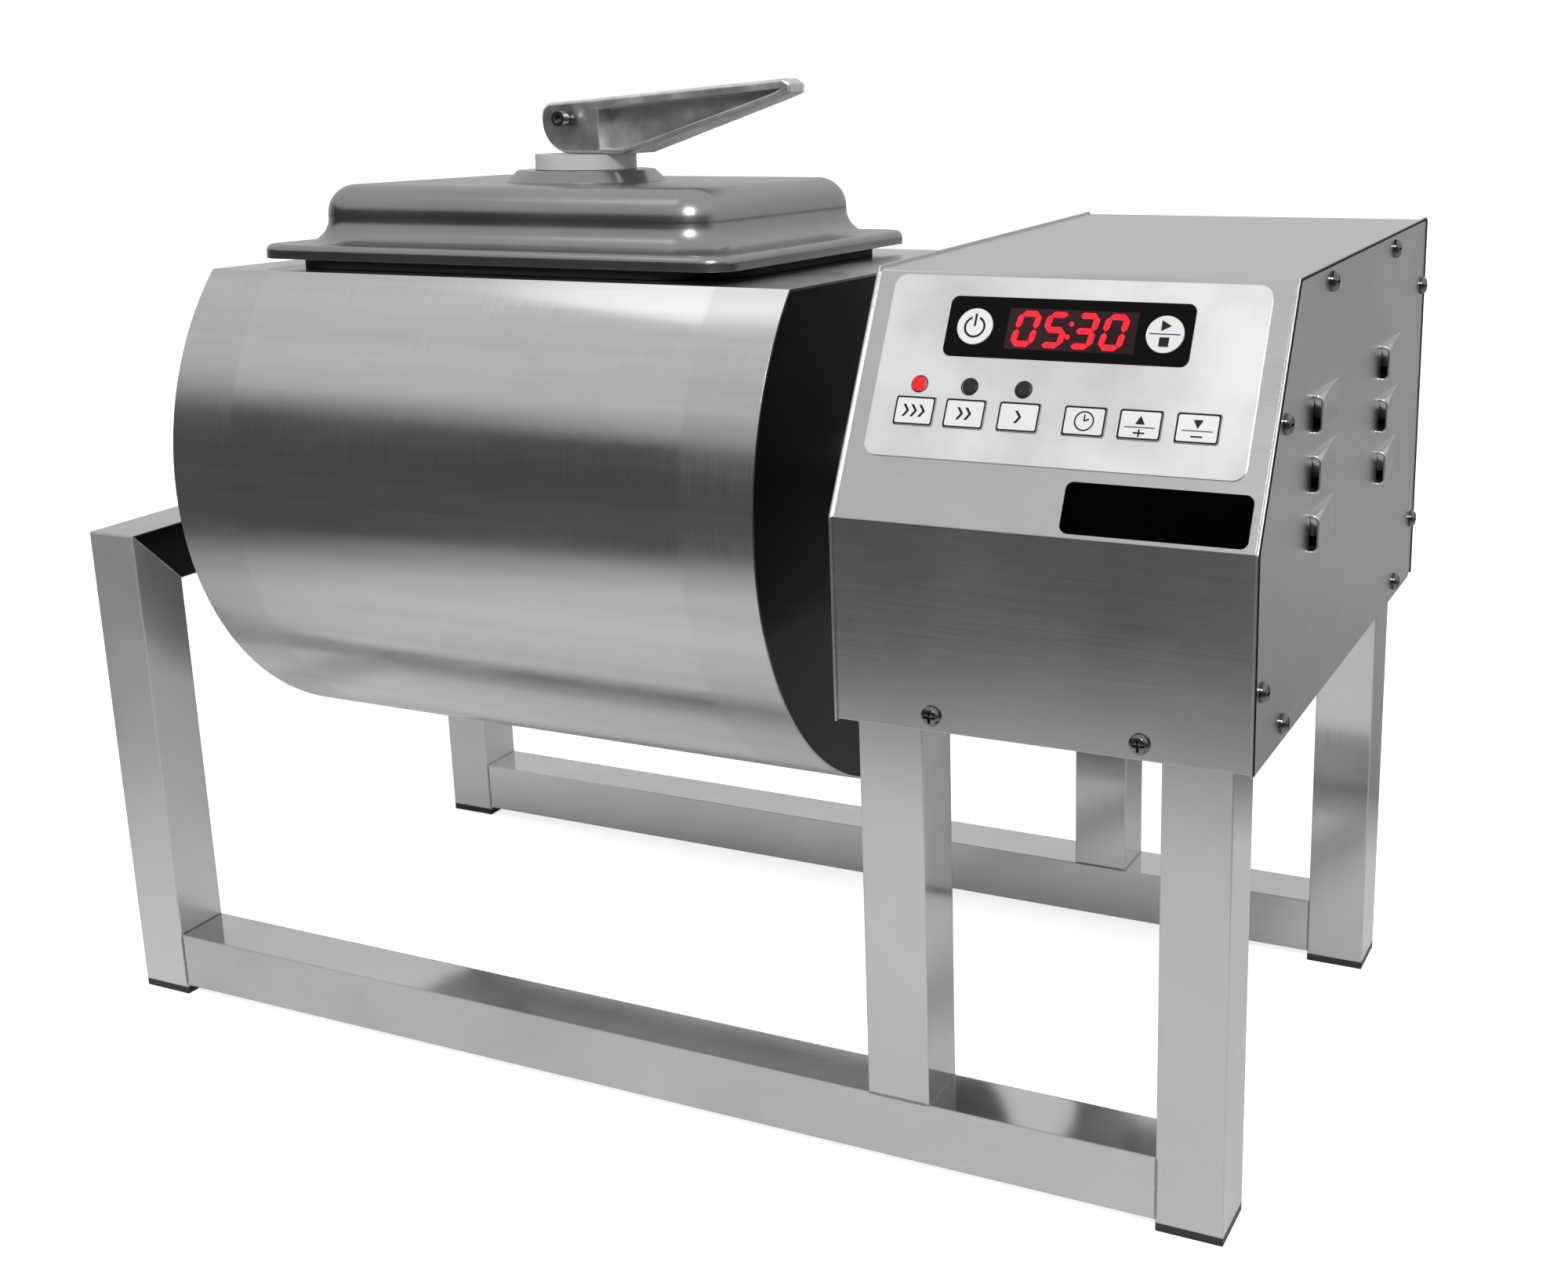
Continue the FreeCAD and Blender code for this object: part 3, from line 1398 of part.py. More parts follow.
def build_lever():
    """Cast lever: cam block at the pivot and a long arm with a recess in each side."""
    rho = S.cam_radius
    off = S.cam_offset
    foot = -(rho + off)
    side_reach = root(rho * rho - (S.lever_crown + off) * (S.lever_crown + off))
    body = new_body()
    sketch = add_sketch(body, "XZ_Plane", -S.lever_width / 2)
    crown_x = off - side_reach
    tip = S.lever_reach
    tip_low = S.lever_tip_rise - S.lever_tip_depth
    add_lever_outline(sketch, [
        (off, foot),
        (S.lever_block_foot, foot),
        (tip - S.lever_nose, tip_low),
        (tip, tip_low + S.lever_nose_rise),
        (tip, S.lever_tip_rise - S.lever_tip_drop),
        (tip - S.lever_tip_bevel, S.lever_tip_rise),
        (S.lever_back_x, S.lever_crown + S.lever_back_rise),
        (crown_x, S.lever_crown),
    ])
    pad(body, sketch, S.lever_width)
    round_edges(body, S.lever_shoulder, is_lever_shoulder)
    half = S.lever_width / 2
    tip_half = S.lever_tip_width / 2
    taper = add_sketch(body, "XY_Plane")
    for sign in (1, -1):
        add_polygon(taper, [
            (S.lever_block_foot, sign * half),
            (tip + S.taper_clearance, sign * tip_half),
            (tip + S.taper_clearance, sign * (half + S.taper_clearance)),
            (S.lever_block_foot, sign * (half + S.taper_clearance)),
        ])
    wedge = body.newObject("PartDesign::Pocket", "Taper")
    wedge.Profile = taper
    wedge.Midplane = True
    bind(wedge, "Length", 4 * rho)
    refresh(body, taper, wedge)
    round_edges(body, S.lever_round, is_lever_outline)
    border = S.lever_border
    sill = S.lever_sill
    for near_side in (True, False):
        recess = add_sketch(body, "XZ_Plane", half if near_side else -half)
        add_polygon(recess, [
            (S.lever_block, foot + sill),
            (S.lever_block_foot, foot + sill),
            (tip - S.recess_nose_x, S.lever_tip_rise - border - S.lever_sill),
            (tip - S.recess_tip_x, S.lever_tip_rise - border),
            (S.lever_block, S.lever_crown + S.lever_back_rise - border),
        ])
        pocket(body, recess, S.lever_recess, back=not near_side)
    x = CLAMP_X
    move(body, x, MIDDLE_Y, PIVOT_Z)
    slot_width = S.eye_width + 2 * S.key_gap
    left = rho + S.cam_offset
    room = S.eye_radius + S.cam_offset
    slot = block(
        (left + room, slot_width, room - foot),
        (x - left, MIDDLE_Y - slot_width / 2, PIVOT_Z + foot),
    )
    pin = rod(S.pin_radius, S.lever_width, (x, MIDDLE_Y - S.lever_width / 2, PIVOT_Z), "y")
    deliver(as_it_stands(cut(body, slot, pin)), "cam_lever")


def is_lever_shoulder(edge, middle, along):
    """The upper left edge of the lever's blank, across its width."""
    return abs(along.y) > 0.9 and middle.x < 0 and near(middle.z, S.lever_crown.value)


def is_lever_outline(edge, middle, along):
    """The long edges round each side face of the lever's blank."""
    return abs(middle.y) > S.lever_tip_width.value / 2 - CLOSE and abs(along.y) < 0.5


def add_lever_outline(sketch, points):
    """The lever's side view: straight edges closed by the cam arc at its left end."""
    corners = [FreeCAD.Vector(as_size(x).value, as_size(y).value, 0) for x, y in points]
    for first, second in zip(corners, corners[1:]):
        sketch.addGeometry(Part.LineSegment(first, second), False)
    last = len(points) - 2
    for number in range(last):
        sketch.addConstraint(Sketcher.Constraint("Coincident", number, 2, number + 1, 1))
    for number, (x, y) in enumerate(points[:-1]):
        pin_point(sketch, number, 1, x, y)
    pin_point(sketch, last, 2, *points[-1])
    centre = FreeCAD.Vector(S.cam_offset.value, -S.cam_offset.value, 0)
    circle = Part.Circle(centre, Z_AXIS, S.cam_radius.value)
    start = math.atan2(corners[-1].y - centre.y, corners[-1].x - centre.x)
    arc = sketch.addGeometry(Part.ArcOfCircle(circle, start, 1.5 * math.pi), False)
    sketch.addConstraint(Sketcher.Constraint("Coincident", arc, 1, last, 2))
    sketch.addConstraint(Sketcher.Constraint("Coincident", arc, 2, 0, 1))
    rule = sketch.addConstraint(Sketcher.Constraint("Radius", arc, S.cam_radius.value))
    sketch.setExpression(f"Constraints[{rule}]", S.cam_radius.text)


def build_pivot_screw():
    """Socket-head screw through the lever and the spindle's eye."""
    x = CLAMP_X
    face = MIDDLE_Y - S.lever_width / 2
    head_y = face - S.pin_standoff - S.pin_head_height
    length = S.pin_head_height + S.pin_standoff + S.lever_width
    shank = rod(S.pin_radius, length, (x, head_y, PIVOT_Z), "y")
    head = rod(S.pin_head_radius, S.pin_head_height, (x, head_y, PIVOT_Z), "y")
    socket = DOC.addObject("Part::Prism", "Socket")
    socket.Polygon = 6
    bind(socket, "Circumradius", S.pin_head_radius * 0.55)
    bind(socket, "Height", S.pin_head_height / 2)
    move(socket, x, head_y, PIVOT_Z, turn=TURNS["y"])
    deliver(as_it_stands(cut(joined(shank, head), socket)), "pivot_screw")


def check_and_write():
    """Stops on any failed feature, then writes one file for each sub-part."""
    DOC.recompute()
    for feature in DOC.Objects:
        if "Invalid" in feature.State or "Error" in feature.State:
            raise RuntimeError(f"{feature.Name} ({feature.Label}) failed")
    os.makedirs("parts", exist_ok=True)
    for feature in PARTS:
        shape = feature.Shape
        if shape.isNull() or not shape.isValid():
            raise RuntimeError(f"{feature.Label} has no valid shape")
        shape.exportStep(f"parts/{feature.Label}.step")
    print(len(PARTS), "sub-parts")


fill_sheet()
build_left_portal()
build_right_frame()
build_feet()
build_cover()
build_left_plate()
build_right_plate()
build_tray()
build_screws()
build_membrane()
build_window()
build_display()
build_keys()
build_board()
build_badge()
build_drum()
build_shafts()
build_bearings()
build_drive()
build_seal()
build_lid()
build_gasket()
build_boss()
build_clamp()
check_and_write()
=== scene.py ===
"""Looks of the tabletop drum tumbler: metals, label, legends, welds, light, floor and camera."""
import json
import math
import bmesh
import bpy
from mathutils import Matrix, Vector


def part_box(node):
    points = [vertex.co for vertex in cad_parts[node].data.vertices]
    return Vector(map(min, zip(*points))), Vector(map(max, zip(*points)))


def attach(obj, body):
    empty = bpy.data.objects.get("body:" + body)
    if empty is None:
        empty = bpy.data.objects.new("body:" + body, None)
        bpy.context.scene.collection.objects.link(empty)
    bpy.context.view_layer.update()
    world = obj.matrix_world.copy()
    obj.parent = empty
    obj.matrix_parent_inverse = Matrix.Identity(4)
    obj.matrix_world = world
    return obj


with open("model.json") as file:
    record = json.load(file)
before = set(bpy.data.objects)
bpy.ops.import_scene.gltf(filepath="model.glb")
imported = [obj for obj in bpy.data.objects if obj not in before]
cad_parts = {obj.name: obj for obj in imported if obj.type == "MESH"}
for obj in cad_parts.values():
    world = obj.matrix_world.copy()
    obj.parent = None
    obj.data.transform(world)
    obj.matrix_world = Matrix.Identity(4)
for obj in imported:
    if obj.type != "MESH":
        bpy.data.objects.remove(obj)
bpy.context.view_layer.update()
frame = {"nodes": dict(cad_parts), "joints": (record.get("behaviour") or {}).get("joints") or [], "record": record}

# Camera, in metres in the object's frame
CAMERA_PLACE = Vector((0.6209, -1.0976, 0.6339))
CAMERA_FORWARD = Vector((-0.4206237, 0.87085178, -0.25434797))
CAMERA_UP = Vector((-0.08881191, 0.23948371, 0.96682987))
CAMERA_LENS = 44.494
CAMERA_SHIFT = (-0.060375, -0.052255)
FILM_WIDTH = 36.0
VIEW_END = 60.0

# Metres from here on. Places on the slope are along it, up from its bend and out of its face.
MM = 0.001
SLOPE_ANGLE = math.radians(61.2)
BEND_HEIGHT = 0.390
LABEL_FACE = 1.0 * MM
KEY_FACE = 1.8 * MM
INK = 0.06 * MM
DRUM_RADIUS = 0.196
AXIS_HEIGHT = next(j for j in frame["joints"] if j["name"] == "drum_spin")["pos_m"][2]
BOX_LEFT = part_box("box_left_plate")[0][0]
BOX_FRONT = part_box("box_cover")[0][1]
NODES = frame["nodes"]

# Slope places of the keypad, in millimetres along and up
SPEED_KEYS = {"fast": 37.9, "medium": 66.7, "slow": 97.0}
TIME_KEYS = {"clock": 133.0, "up": 162.7, "down": 192.6}
KEY_ROW = 61.6
KEY_SIZE = (22.6, 15.8)
KEY_CORNER = 1.5
FRAME_LINE = 0.95
ROUND_KEYS = {"power": 63.5, "start": 167.9}
WINDOW_ROW = 110.3
DIGIT_MIDDLE = 116.4
DIGIT_SIZE = (13.0, 20.2)
DIGIT_PITCH = 16.1
DIGIT_STROKE = 3.3
SEGMENT_GAP = 0.25
DIGIT_LEAN = math.radians(9.5)
LENS_ROW = 76.8
LENS_RING = (4.2, 4.9)
CHEVRON_HALF = 3.4
CHEVRON_PITCH = 4.6
CHEVRON_NOSE = 1.8
CHEVRON_SLANT = 2.4
CHEVRON_WIDTH = 1.6
CLOCK_RADIUS = 5.0
CLOCK_LINE = 0.8
CLOCK_HANDS = ((0.0, 3.5), (2.6, 1.1))
ARROW_HALF = 2.6
ARROW_RISE = 2.3
ARROW_FOOT = 2.1
ARROW_TIP = 2.5
DIVIDER_HALF = 8.0
DIVIDER_DROP = 1.4
DIVIDER_LINE = 0.5
SIGN_HALF = 3.0
SIGN_STEM_HALF = 2.0
SIGN_DROP = 4.4
SIGN_LINE = 0.9
POWER_RADIUS = 5.5
POWER_DROP = 0.4
POWER_STEM = 7.0
POWER_LINE = 1.2
START_TRIANGLE = ((-2.4, 1.5), (3.0, 4.5), (-2.4, 7.5))
STOP_SQUARE = ((-2.6, -6.8), (2.6, -6.8), (2.6, -1.7), (-2.6, -1.7))
START_DIVIDER_HALF = 8.2
START_DIVIDER_LINE = 0.55
COLON_RISE = 3.6
COLON_RADIUS = 1.35
SEGMENT_FACE = 0.12

# Fold of the cover and the painted shadow in the gap beside it, in metres
FOLD_REACH = 0.0020
PLATE_THICKNESS = 0.0015
GAP_SHADOW_RADIUS = 0.0007

# Pressed louvres of the right plate, in metres: the mouth of each, its section, the lip round
# the mouth and the end wall that leads into it. The wall's reach below the middle is a share of
# the louvre's half height.
LOUVRES = [(y, z) for y in (-0.1000, 0.0740) for z in (0.4405, 0.4083, 0.3761)]
LOUVRE_HALF = 0.0105
LOUVRE_RISE = 0.0052
LOUVRE_CORNER = 0.0040
LOUVRE_LENGTH = 0.058
LIP_INSET = 0.0006
LIP_RADIUS = 0.0007
THROAT_START = 0.0002
THROAT_REACH = 0.35
THROAT_DEPTH = 0.010
THROAT_SHEET = 0.0008

# Weld beads on the tube joints, in metres
WELD_STEPS = 26
WELD_RADIUS = 0.00075
WELD_RIPPLE = 0.00012

# Buffed bands of the drum, from each end, in metres
BAND_START = 0.050
BAND_FULL = 0.046

# Lamps: place, what they face, size and power. The floor's and the room's greys, with the heights
# that the room's greys are at, from -1 straight down to 1 straight up.
OVERHEAD_LAMP = ((-0.75, -0.6, 1.9), (-0.1, -0.1, 0.4), (0.5, 0.5), 0.6)
FRONT_LAMP = ((1.0, -2.0, 2.1), (0.1, 0.0, 0.4), (0.5, 0.5), 34.0)
FLOOR_HALF = 14.0
FLOOR_GREY = 0.90
FLOOR_SEEN = 0.74
ROOM_IN_FRONT = ((-1.0, 0.08), (0.24, 0.09), (0.36, 0.66), (1.0, 0.76))
ROOM_BEHIND = ((-0.25, 0.45), (0.02, 0.60), (0.25, 0.62), (0.5, 0.76))
ROOM_BLEND = 0.25


def on_slope(u, v, w=0.0):
    """A point of the slope, from millimetres along, up and out."""
    u, v, w = u * MM, v * MM, w * MM
    sine, cosine = math.sin(SLOPE_ANGLE), math.cos(SLOPE_ANGLE)
    return Vector((
        BOX_LEFT + u,
        BOX_FRONT + v * cosine - w * sine,
        BEND_HEIGHT + v * sine + w * cosine,
    ))


class Recipe:
    """A material in the making, with short ways to add and join its nodes."""

    def __init__(self, name, colour, metallic=0.0, roughness=0.5, **more):
        self.material = bpy.data.materials.new(name)
        self.material.use_nodes = True
        self.tree = self.material.node_tree
        self.shader = self.tree.nodes["Principled BSDF"]
        self.shader.inputs["Base Color"].default_value = (*colour, 1.0)
        self.shader.inputs["Metallic"].default_value = metallic
        self.shader.inputs["Roughness"].default_value = roughness
        for key, value in more.items():
            self.shader.inputs[key.replace("_", " ")].default_value = value
        self.position = self.add("ShaderNodeTexCoord").outputs["Object"]
        self.normal = None

    def add(self, kind, **values):
        """A node of a kind; values name its inputs, and a socket is joined to them."""
        node = self.tree.nodes.new(kind)
        for key, value in values.items():
            self.put(node.inputs[key.replace("_", " ")], value)
        return node

    def put(self, target, value):
        if isinstance(value, bpy.types.NodeSocket):
            self.tree.links.new(value, target)
        else:
            target.default_value = value

    def feed(self, name, socket):
        self.tree.links.new(socket, self.shader.inputs[name])

    def scaled(self, scale, vector=None):
        node = self.add("ShaderNodeVectorMath")
        node.operation = "MULTIPLY"
        self.put(node.inputs[0], vector or self.position)
        self.put(node.inputs[1], scale)
        return node.outputs[0]

    def noise(self, scale, detail=3.0, vector=None, rough=0.5):
        """Noise of a size for each axis, in waves per metre."""
        node = self.add("ShaderNodeTexNoise", Vector=self.scaled(scale, vector), Scale=1.0,
                        Detail=detail, Roughness=rough)
        return node.outputs["Fac"]

    def span(self, value, low, high, start=0.0, end=1.0):
        """Maps a value from start..end to low..high and keeps it there."""
        node = self.add("ShaderNodeMapRange")
        for number, item in enumerate((value, start, end, low, high)):
            self.put(node.inputs[number], item)
        return node.outputs[0]

    def maths(self, operation, first, second=0.0):
        node = self.add("ShaderNodeMath")
        node.operation = operation
        self.put(node.inputs[0], first)
        self.put(node.inputs[1], second)
        return node.outputs[0]

    def ramp(self, value, *stops):
        """A colour ramp over a value: each stop is a place and a grey or a colour."""
        node = self.add("ShaderNodeValToRGB", Fac=value)
        elements = node.color_ramp.elements
        while len(elements) < len(stops):
            elements.new(0.5)
        for element, (place, colour) in zip(elements, stops):
            element.position = place
            colour = (colour,) * 3 if isinstance(colour, float) else colour
            element.color = (*colour, 1.0)
        return node.outputs["Color"]

    def tint(self, base, factor):
        """A colour multiplied by a grey."""
        node = self.add("ShaderNodeMix")
        node.data_type = "RGBA"
        node.blend_type = "MULTIPLY"
        self.put(node.inputs[0], 1.0)
        self.put(node.inputs[6], base)
        self.put(node.inputs[7], factor)
        return node.outputs[2]

    def soft_edges(self, radius):
        """Rounds the shading of sharp edges, as a real part's broken edges look."""
        node = self.add("ShaderNodeBevel", Radius=radius)
        node.samples = 4
        self.normal = node.outputs[0]
        self.feed("Normal", self.normal)

    def bump(self, height, strength, distance):
        node = self.add("ShaderNodeBump", Height=height, Strength=strength, Distance=distance)
        if self.normal:
            self.tree.links.new(self.normal, node.inputs["Normal"])
        self.normal = node.outputs[0]
        self.feed("Normal", self.normal)

    def recess_shade(self, colour, shade_colour, reach):
        """Paints shade: darkens a colour towards a shade colour in narrow recesses, by ambient occlusion."""
        shade = self.add("ShaderNodeAmbientOcclusion", Distance=reach)
        shade.samples = 4
        node = self.add("ShaderNodeMix")
        node.data_type = "RGBA"
        self.put(node.inputs[0], self.span(shade.outputs["AO"], 0.0, 1.0, 0.35, 0.85))
        self.put(node.inputs[6], (*shade_colour, 1.0))
        self.put(node.inputs[7], colour)
        return node.outputs[2]


GRAIN = {"x": (14.0, 2600.0, 2600.0), "y": (2600.0, 14.0, 2600.0), "z": (2600.0, 2600.0, 14.0)}
BLOTCH = (9.0, 9.0, 9.0)


def steel(name, grey, roughness, along="x", edge=0.8 * MM, blotch=0.05, wave=0.0, metal=1.0):
    """Stainless sheet or tube: long fine grain, cloudy polish and softened edges."""
    recipe = Recipe(name, (grey,) * 3, metallic=metal, roughness=roughness)
    recipe.soft_edges(edge)
    grain = recipe.noise(GRAIN[along], detail=2.0)
    cloud = recipe.noise(BLOTCH, detail=5.0, rough=0.6)
    low = grey * (1 - blotch)
    high = min(grey * (1 + blotch), 1.0)
    colour = recipe.ramp(cloud, (0.25, (low, low, low * 1.005)), (0.75, (high, high, high * 1.01)))
    streak = recipe.ramp(grain, (0.3, 0.95), (0.7, 1.0))
    recipe.feed("Base Color", recipe.tint(colour, streak))
    polish = recipe.maths("ADD", recipe.span(grain, -0.02, 0.03, 0.3, 0.7),
                          recipe.span(cloud, roughness * 0.8, roughness * 1.25, 0.3, 0.7))
    recipe.feed("Roughness", polish)
    if wave:
        recipe.bump(recipe.noise((4.0, 4.0, 4.0), detail=0.0), wave, 2 * MM)
    recipe.bump(grain, 0.014, 0.3 * MM)
    return recipe.material


def drum_coordinates(recipe):
    """Along the drum and round it, in metres, as one vector."""
    split = recipe.add("ShaderNodeSeparateXYZ", Vector=recipe.position)
    height = recipe.maths("SUBTRACT", split.outputs["Z"], AXIS_HEIGHT)
    angle = recipe.maths("ARCTAN2", height, split.outputs["Y"])
    joined = recipe.add("ShaderNodeCombineXYZ")
    recipe.put(joined.inputs[0], split.outputs["X"])
    recipe.put(joined.inputs[1], recipe.maths("MULTIPLY", angle, DRUM_RADIUS))
    return joined.outputs[0], split.outputs["X"]


def drum_steel():
    """Rolled sheet: grain round the drum, faint lengthwise waves, buffed bands near its ends."""
    recipe = Recipe("drum_steel", (0.62,) * 3, metallic=1.0, roughness=0.16)
    recipe.soft_edges(0.5 * MM)
    vector, along = drum_coordinates(recipe)
    grain = recipe.noise((1300.0, 30.0, 1.0), detail=3.0, vector=vector)
    cloud = recipe.noise((7.0, 10.0, 1.0), detail=5.0, vector=vector, rough=0.6)
    wave = recipe.noise((1.1, 16.0, 1.0), detail=2.0, vector=vector, rough=0.4)
    low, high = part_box("drum_shell")
    middle = (low[0] + high[0]) / 2
    reach = (high[0] - low[0]) / 2
    from_middle = recipe.maths("ABSOLUTE", recipe.maths("SUBTRACT", along, middle))
    band = recipe.span(from_middle, 0.0, 1.0, reach - BAND_START, reach - BAND_FULL)
    colour = recipe.ramp(cloud, (0.25, 0.64), (0.75, 0.70))
    streak = recipe.ramp(grain, (0.3, 0.95), (0.7, 1.0))
    end = recipe.ramp(band, (0.0, 1.0), (1.0, 0.95))
    drawn = recipe.noise((1.4, 55.0, 1.0), detail=4.0, vector=vector, rough=0.55)
    lines = recipe.ramp(drawn, (0.34, 0.88), (0.62, 1.0))
    recipe.feed("Base Color", recipe.tint(recipe.tint(recipe.tint(colour, streak), end), lines))
    polish = recipe.maths("ADD", recipe.span(grain, -0.02, 0.03, 0.3, 0.7),
                          recipe.span(cloud, 0.13, 0.19, 0.3, 0.7))
    recipe.feed("Roughness", recipe.maths("ADD", polish, recipe.span(band, 0.0, 0.06)))
    recipe.bump(wave, 0.30, 3 * MM)
    recipe.bump(grain, 0.014, 0.3 * MM)
    return recipe.material


def cast_metal():
    """Polished casting with a mottled tone; painted shade darkens it in its recesses."""
    recipe = Recipe("cast_lever", (0.6,) * 3, metallic=1.0, roughness=0.2)
    recipe.soft_edges(1.6 * MM)
    mottle = recipe.noise((130.0, 130.0, 130.0), detail=6.0, rough=0.65)
    polish = recipe.noise((40.0, 40.0, 40.0), detail=3.0)
    colour = recipe.ramp(mottle, (0.3, 0.62), (0.7, 0.88))
    # Painted shade: the colour darkens to mid grey in recesses, by ambient occlusion.
    recipe.feed("Base Color", recipe.recess_shade(colour, (0.50, 0.50, 0.505), 10 * MM))
    recipe.feed("Roughness", recipe.span(polish, 0.26, 0.50, 0.3, 0.7))
    recipe.bump(mottle, 0.10, 0.6 * MM)
    return recipe.material


def screw_metal():
    """Plated steel: its dark colour paints the dark reflections of the head, and painted shade makes it near black
    inside its recess.
    """
    recipe = Recipe("screw_steel", (0.5,) * 3, metallic=1.0, roughness=0.1)
    recipe.soft_edges(0.5 * MM)
    speck = recipe.noise((900.0, 900.0, 900.0), detail=3.0)
    # Painted reflection: the head's colour is kept dark; painted shade then darkens the recess.
    colour = recipe.ramp(speck, (0.3, 0.14), (0.7, 0.28))
    recipe.feed("Base Color", recipe.recess_shade(colour, (0.01, 0.01, 0.01), 3.0 * MM))
    recipe.feed("Roughness", recipe.span(speck, 0.06, 0.16, 0.3, 0.7))
    return recipe.material


def plastic(name, colour, roughness, grain=1400.0, bump=0.06, mottle=0.12, shine=0.5):
    """Moulded plastic or rubber: fine moulding grain and slight patches of tone."""
    recipe = Recipe(name, colour, roughness=roughness, Specular_IOR_Level=shine)
    recipe.soft_edges(0.5 * MM)
    fine = recipe.noise((grain,) * 3, detail=2.0)
    cloud = recipe.noise((22.0,) * 3, detail=4.0)
    dark = tuple(channel * (1 - mottle) for channel in colour)
    light = tuple(min(channel * (1 + mottle), 1.0) for channel in colour)
    recipe.feed("Base Color", recipe.ramp(cloud, (0.3, dark), (0.7, light)))
    dull = min(roughness * 1.15, 1.0)
    recipe.feed("Roughness", recipe.span(fine, roughness * 0.85, dull, 0.3, 0.7))
    recipe.bump(fine, bump, 0.2 * MM)
    return recipe.material


def label_film():
    """Silver-white printed film with a soft pearly cloud."""
    recipe = Recipe("label_silver", (0.74, 0.75, 0.76), metallic=0.35, roughness=0.34)
    recipe.soft_edges(0.3 * MM)
    cloud = recipe.noise((16.0, 16.0, 16.0), detail=4.0, rough=0.55)
    fine = recipe.noise((2200.0,) * 3, detail=2.0)
    colour = recipe.ramp(cloud, (0.28, (0.60, 0.61, 0.62)), (0.62, (0.76, 0.77, 0.775)))
    recipe.feed("Base Color", recipe.tint(colour, recipe.ramp(fine, (0.3, 0.95), (0.7, 1.0))))
    recipe.feed("Roughness", recipe.span(cloud, 0.28, 0.42, 0.3, 0.7))
    recipe.bump(fine, 0.04, 0.1 * MM)
    return recipe.material


def glow(name, colour, deep, strength):
    """A lit plastic with fine uneven diffusion: random spots of its deep and its full colour."""
    recipe = Recipe(name, colour, roughness=0.25)
    spots = recipe.noise((420.0,) * 3, detail=3.0)
    mixed = recipe.ramp(spots, (0.32, deep), (0.66, colour))
    recipe.feed("Base Color", mixed)
    recipe.feed("Emission Color", mixed)
    recipe.shader.inputs["Emission Strength"].default_value = strength
    return recipe.material


MATERIALS = {
    "tube_x": steel("tube_along_x", 0.63, 0.09, "x", edge=1.6 * MM, blotch=0.09, wave=0.10),
    "tube_y": steel("tube_along_y", 0.63, 0.09, "y", edge=1.6 * MM, blotch=0.09, wave=0.10),
    "tube_z": steel("tube_along_z", 0.63, 0.09, "z", edge=1.6 * MM, blotch=0.09, wave=0.10),
    # A lighter, rougher copy of the tube steel for the left legs, so their fronts read lit: painted light.
    "tube_lit_copy": steel("tube_lit_copy", 0.74, 0.36, "z", edge=1.6 * MM, metal=0.75),
    "box_steel": steel("box_steel", 0.62, 0.18, "x", blotch=0.08, wave=0.05),
    "side_steel": steel("side_steel", 0.64, 0.26, "y", blotch=0.08, wave=0.04),
    # The lid steel is a much darker grey than the other sheet, which paints the darker reflections on the lid:
    # painted shade.
    "lid_steel": steel("lid_steel", 0.34, 0.24, "x", edge=0.4 * MM, blotch=0.10, wave=0.04),
    "cap_steel": steel("cap_steel", 0.04, 0.34, "z"),
    "inner_steel": steel("inner_steel", 0.55, 0.35, "x"),
    "race_steel": steel("race_steel", 0.60, 0.15, "y"),
    "gearbox_alloy": steel("gearbox_alloy", 0.45, 0.45, "z", blotch=0.15),
    "drum_steel": drum_steel(),
    "weld_steel": steel("weld_steel", 0.32, 0.30, "x", blotch=0.30),
    # A lighter steel for the louvre lips: painted highlight.
    "lip_steel_highlight": steel("lip_steel_highlight", 0.80, 0.20, "y"),
    "screw_steel": screw_metal(),
    "cast_lever": cast_metal(),
    "label_silver": label_film(),
    "key_silver": plastic("key_silver", (0.74, 0.75, 0.76), 0.32, mottle=0.05),
    # White nylon set to a mid grey: painted shade.
    "nylon": plastic("nylon", (0.60, 0.60, 0.59), 0.42, mottle=0.04),
    "gasket_rubber": plastic("gasket_rubber", (0.010, 0.010, 0.010), 0.7, shine=0.2),
    "foot_plastic": plastic("foot_plastic", (0.02, 0.02, 0.02), 0.5),
    "window_black": plastic("window_black", (0.0025, 0.0025, 0.0028), 0.25, bump=0.02, shine=0.08),
    "badge_black": plastic("badge_black", (0.0010, 0.0010, 0.0011), 0.5, bump=0.02, shine=0.0),
    "digit_red": plastic("digit_smoked", (0.028, 0.010, 0.012), 0.18, mottle=0.3, shine=0.15),
    "lamp_red": glow("lamp_red", (0.78, 0.008, 0.016), (0.45, 0.003, 0.006), 0.36),
    "lamp_dark": plastic("lamp_dark", (0.007, 0.007, 0.0075), 0.20),
    "board_green": plastic("board_green", (0.03, 0.14, 0.07), 0.4),
    "post_nylon": plastic("post_nylon", (0.75, 0.75, 0.70), 0.45),
    "bearing_iron": plastic("bearing_iron", (0.16, 0.17, 0.18), 0.45, grain=500.0, bump=0.2),
    "motor_paint": plastic("motor_paint", (0.10, 0.11, 0.13), 0.4, grain=500.0, bump=0.2),
    "electronics_case": plastic("electronics_case", (0.14, 0.14, 0.15), 0.45),
    "ink": plastic("legend_ink", (0.012, 0.012, 0.013), 0.5, mottle=0.2, shine=0.2),
    # Painted shadow for the gaps beside the side plates.
    "gap_shadow_dark": plastic("gap_shadow_dark", (0.008, 0.008, 0.008), 0.6, shine=0.1),
    "segment": glow("lit_segment", (0.88, 0.006, 0.022), (0.70, 0.002, 0.010), 0.85),
}
SLOT_MATERIALS = {"tube_steel": "tube_z"}
NODE_MATERIALS = {
    # The left legs wear the lit copy of the tube steel: painted light.
    "front_left_leg": "tube_lit_copy",
    "back_left_leg": "tube_lit_copy",
    "front_rail": "tube_x",
    "back_rail": "tube_x",
    "left_crossbar": "tube_y",
    "middle_crossbar": "tube_y",
    "right_crossbar": "tube_y",
    "box_left_plate": "side_steel",
    "box_right_plate": "side_steel",
}


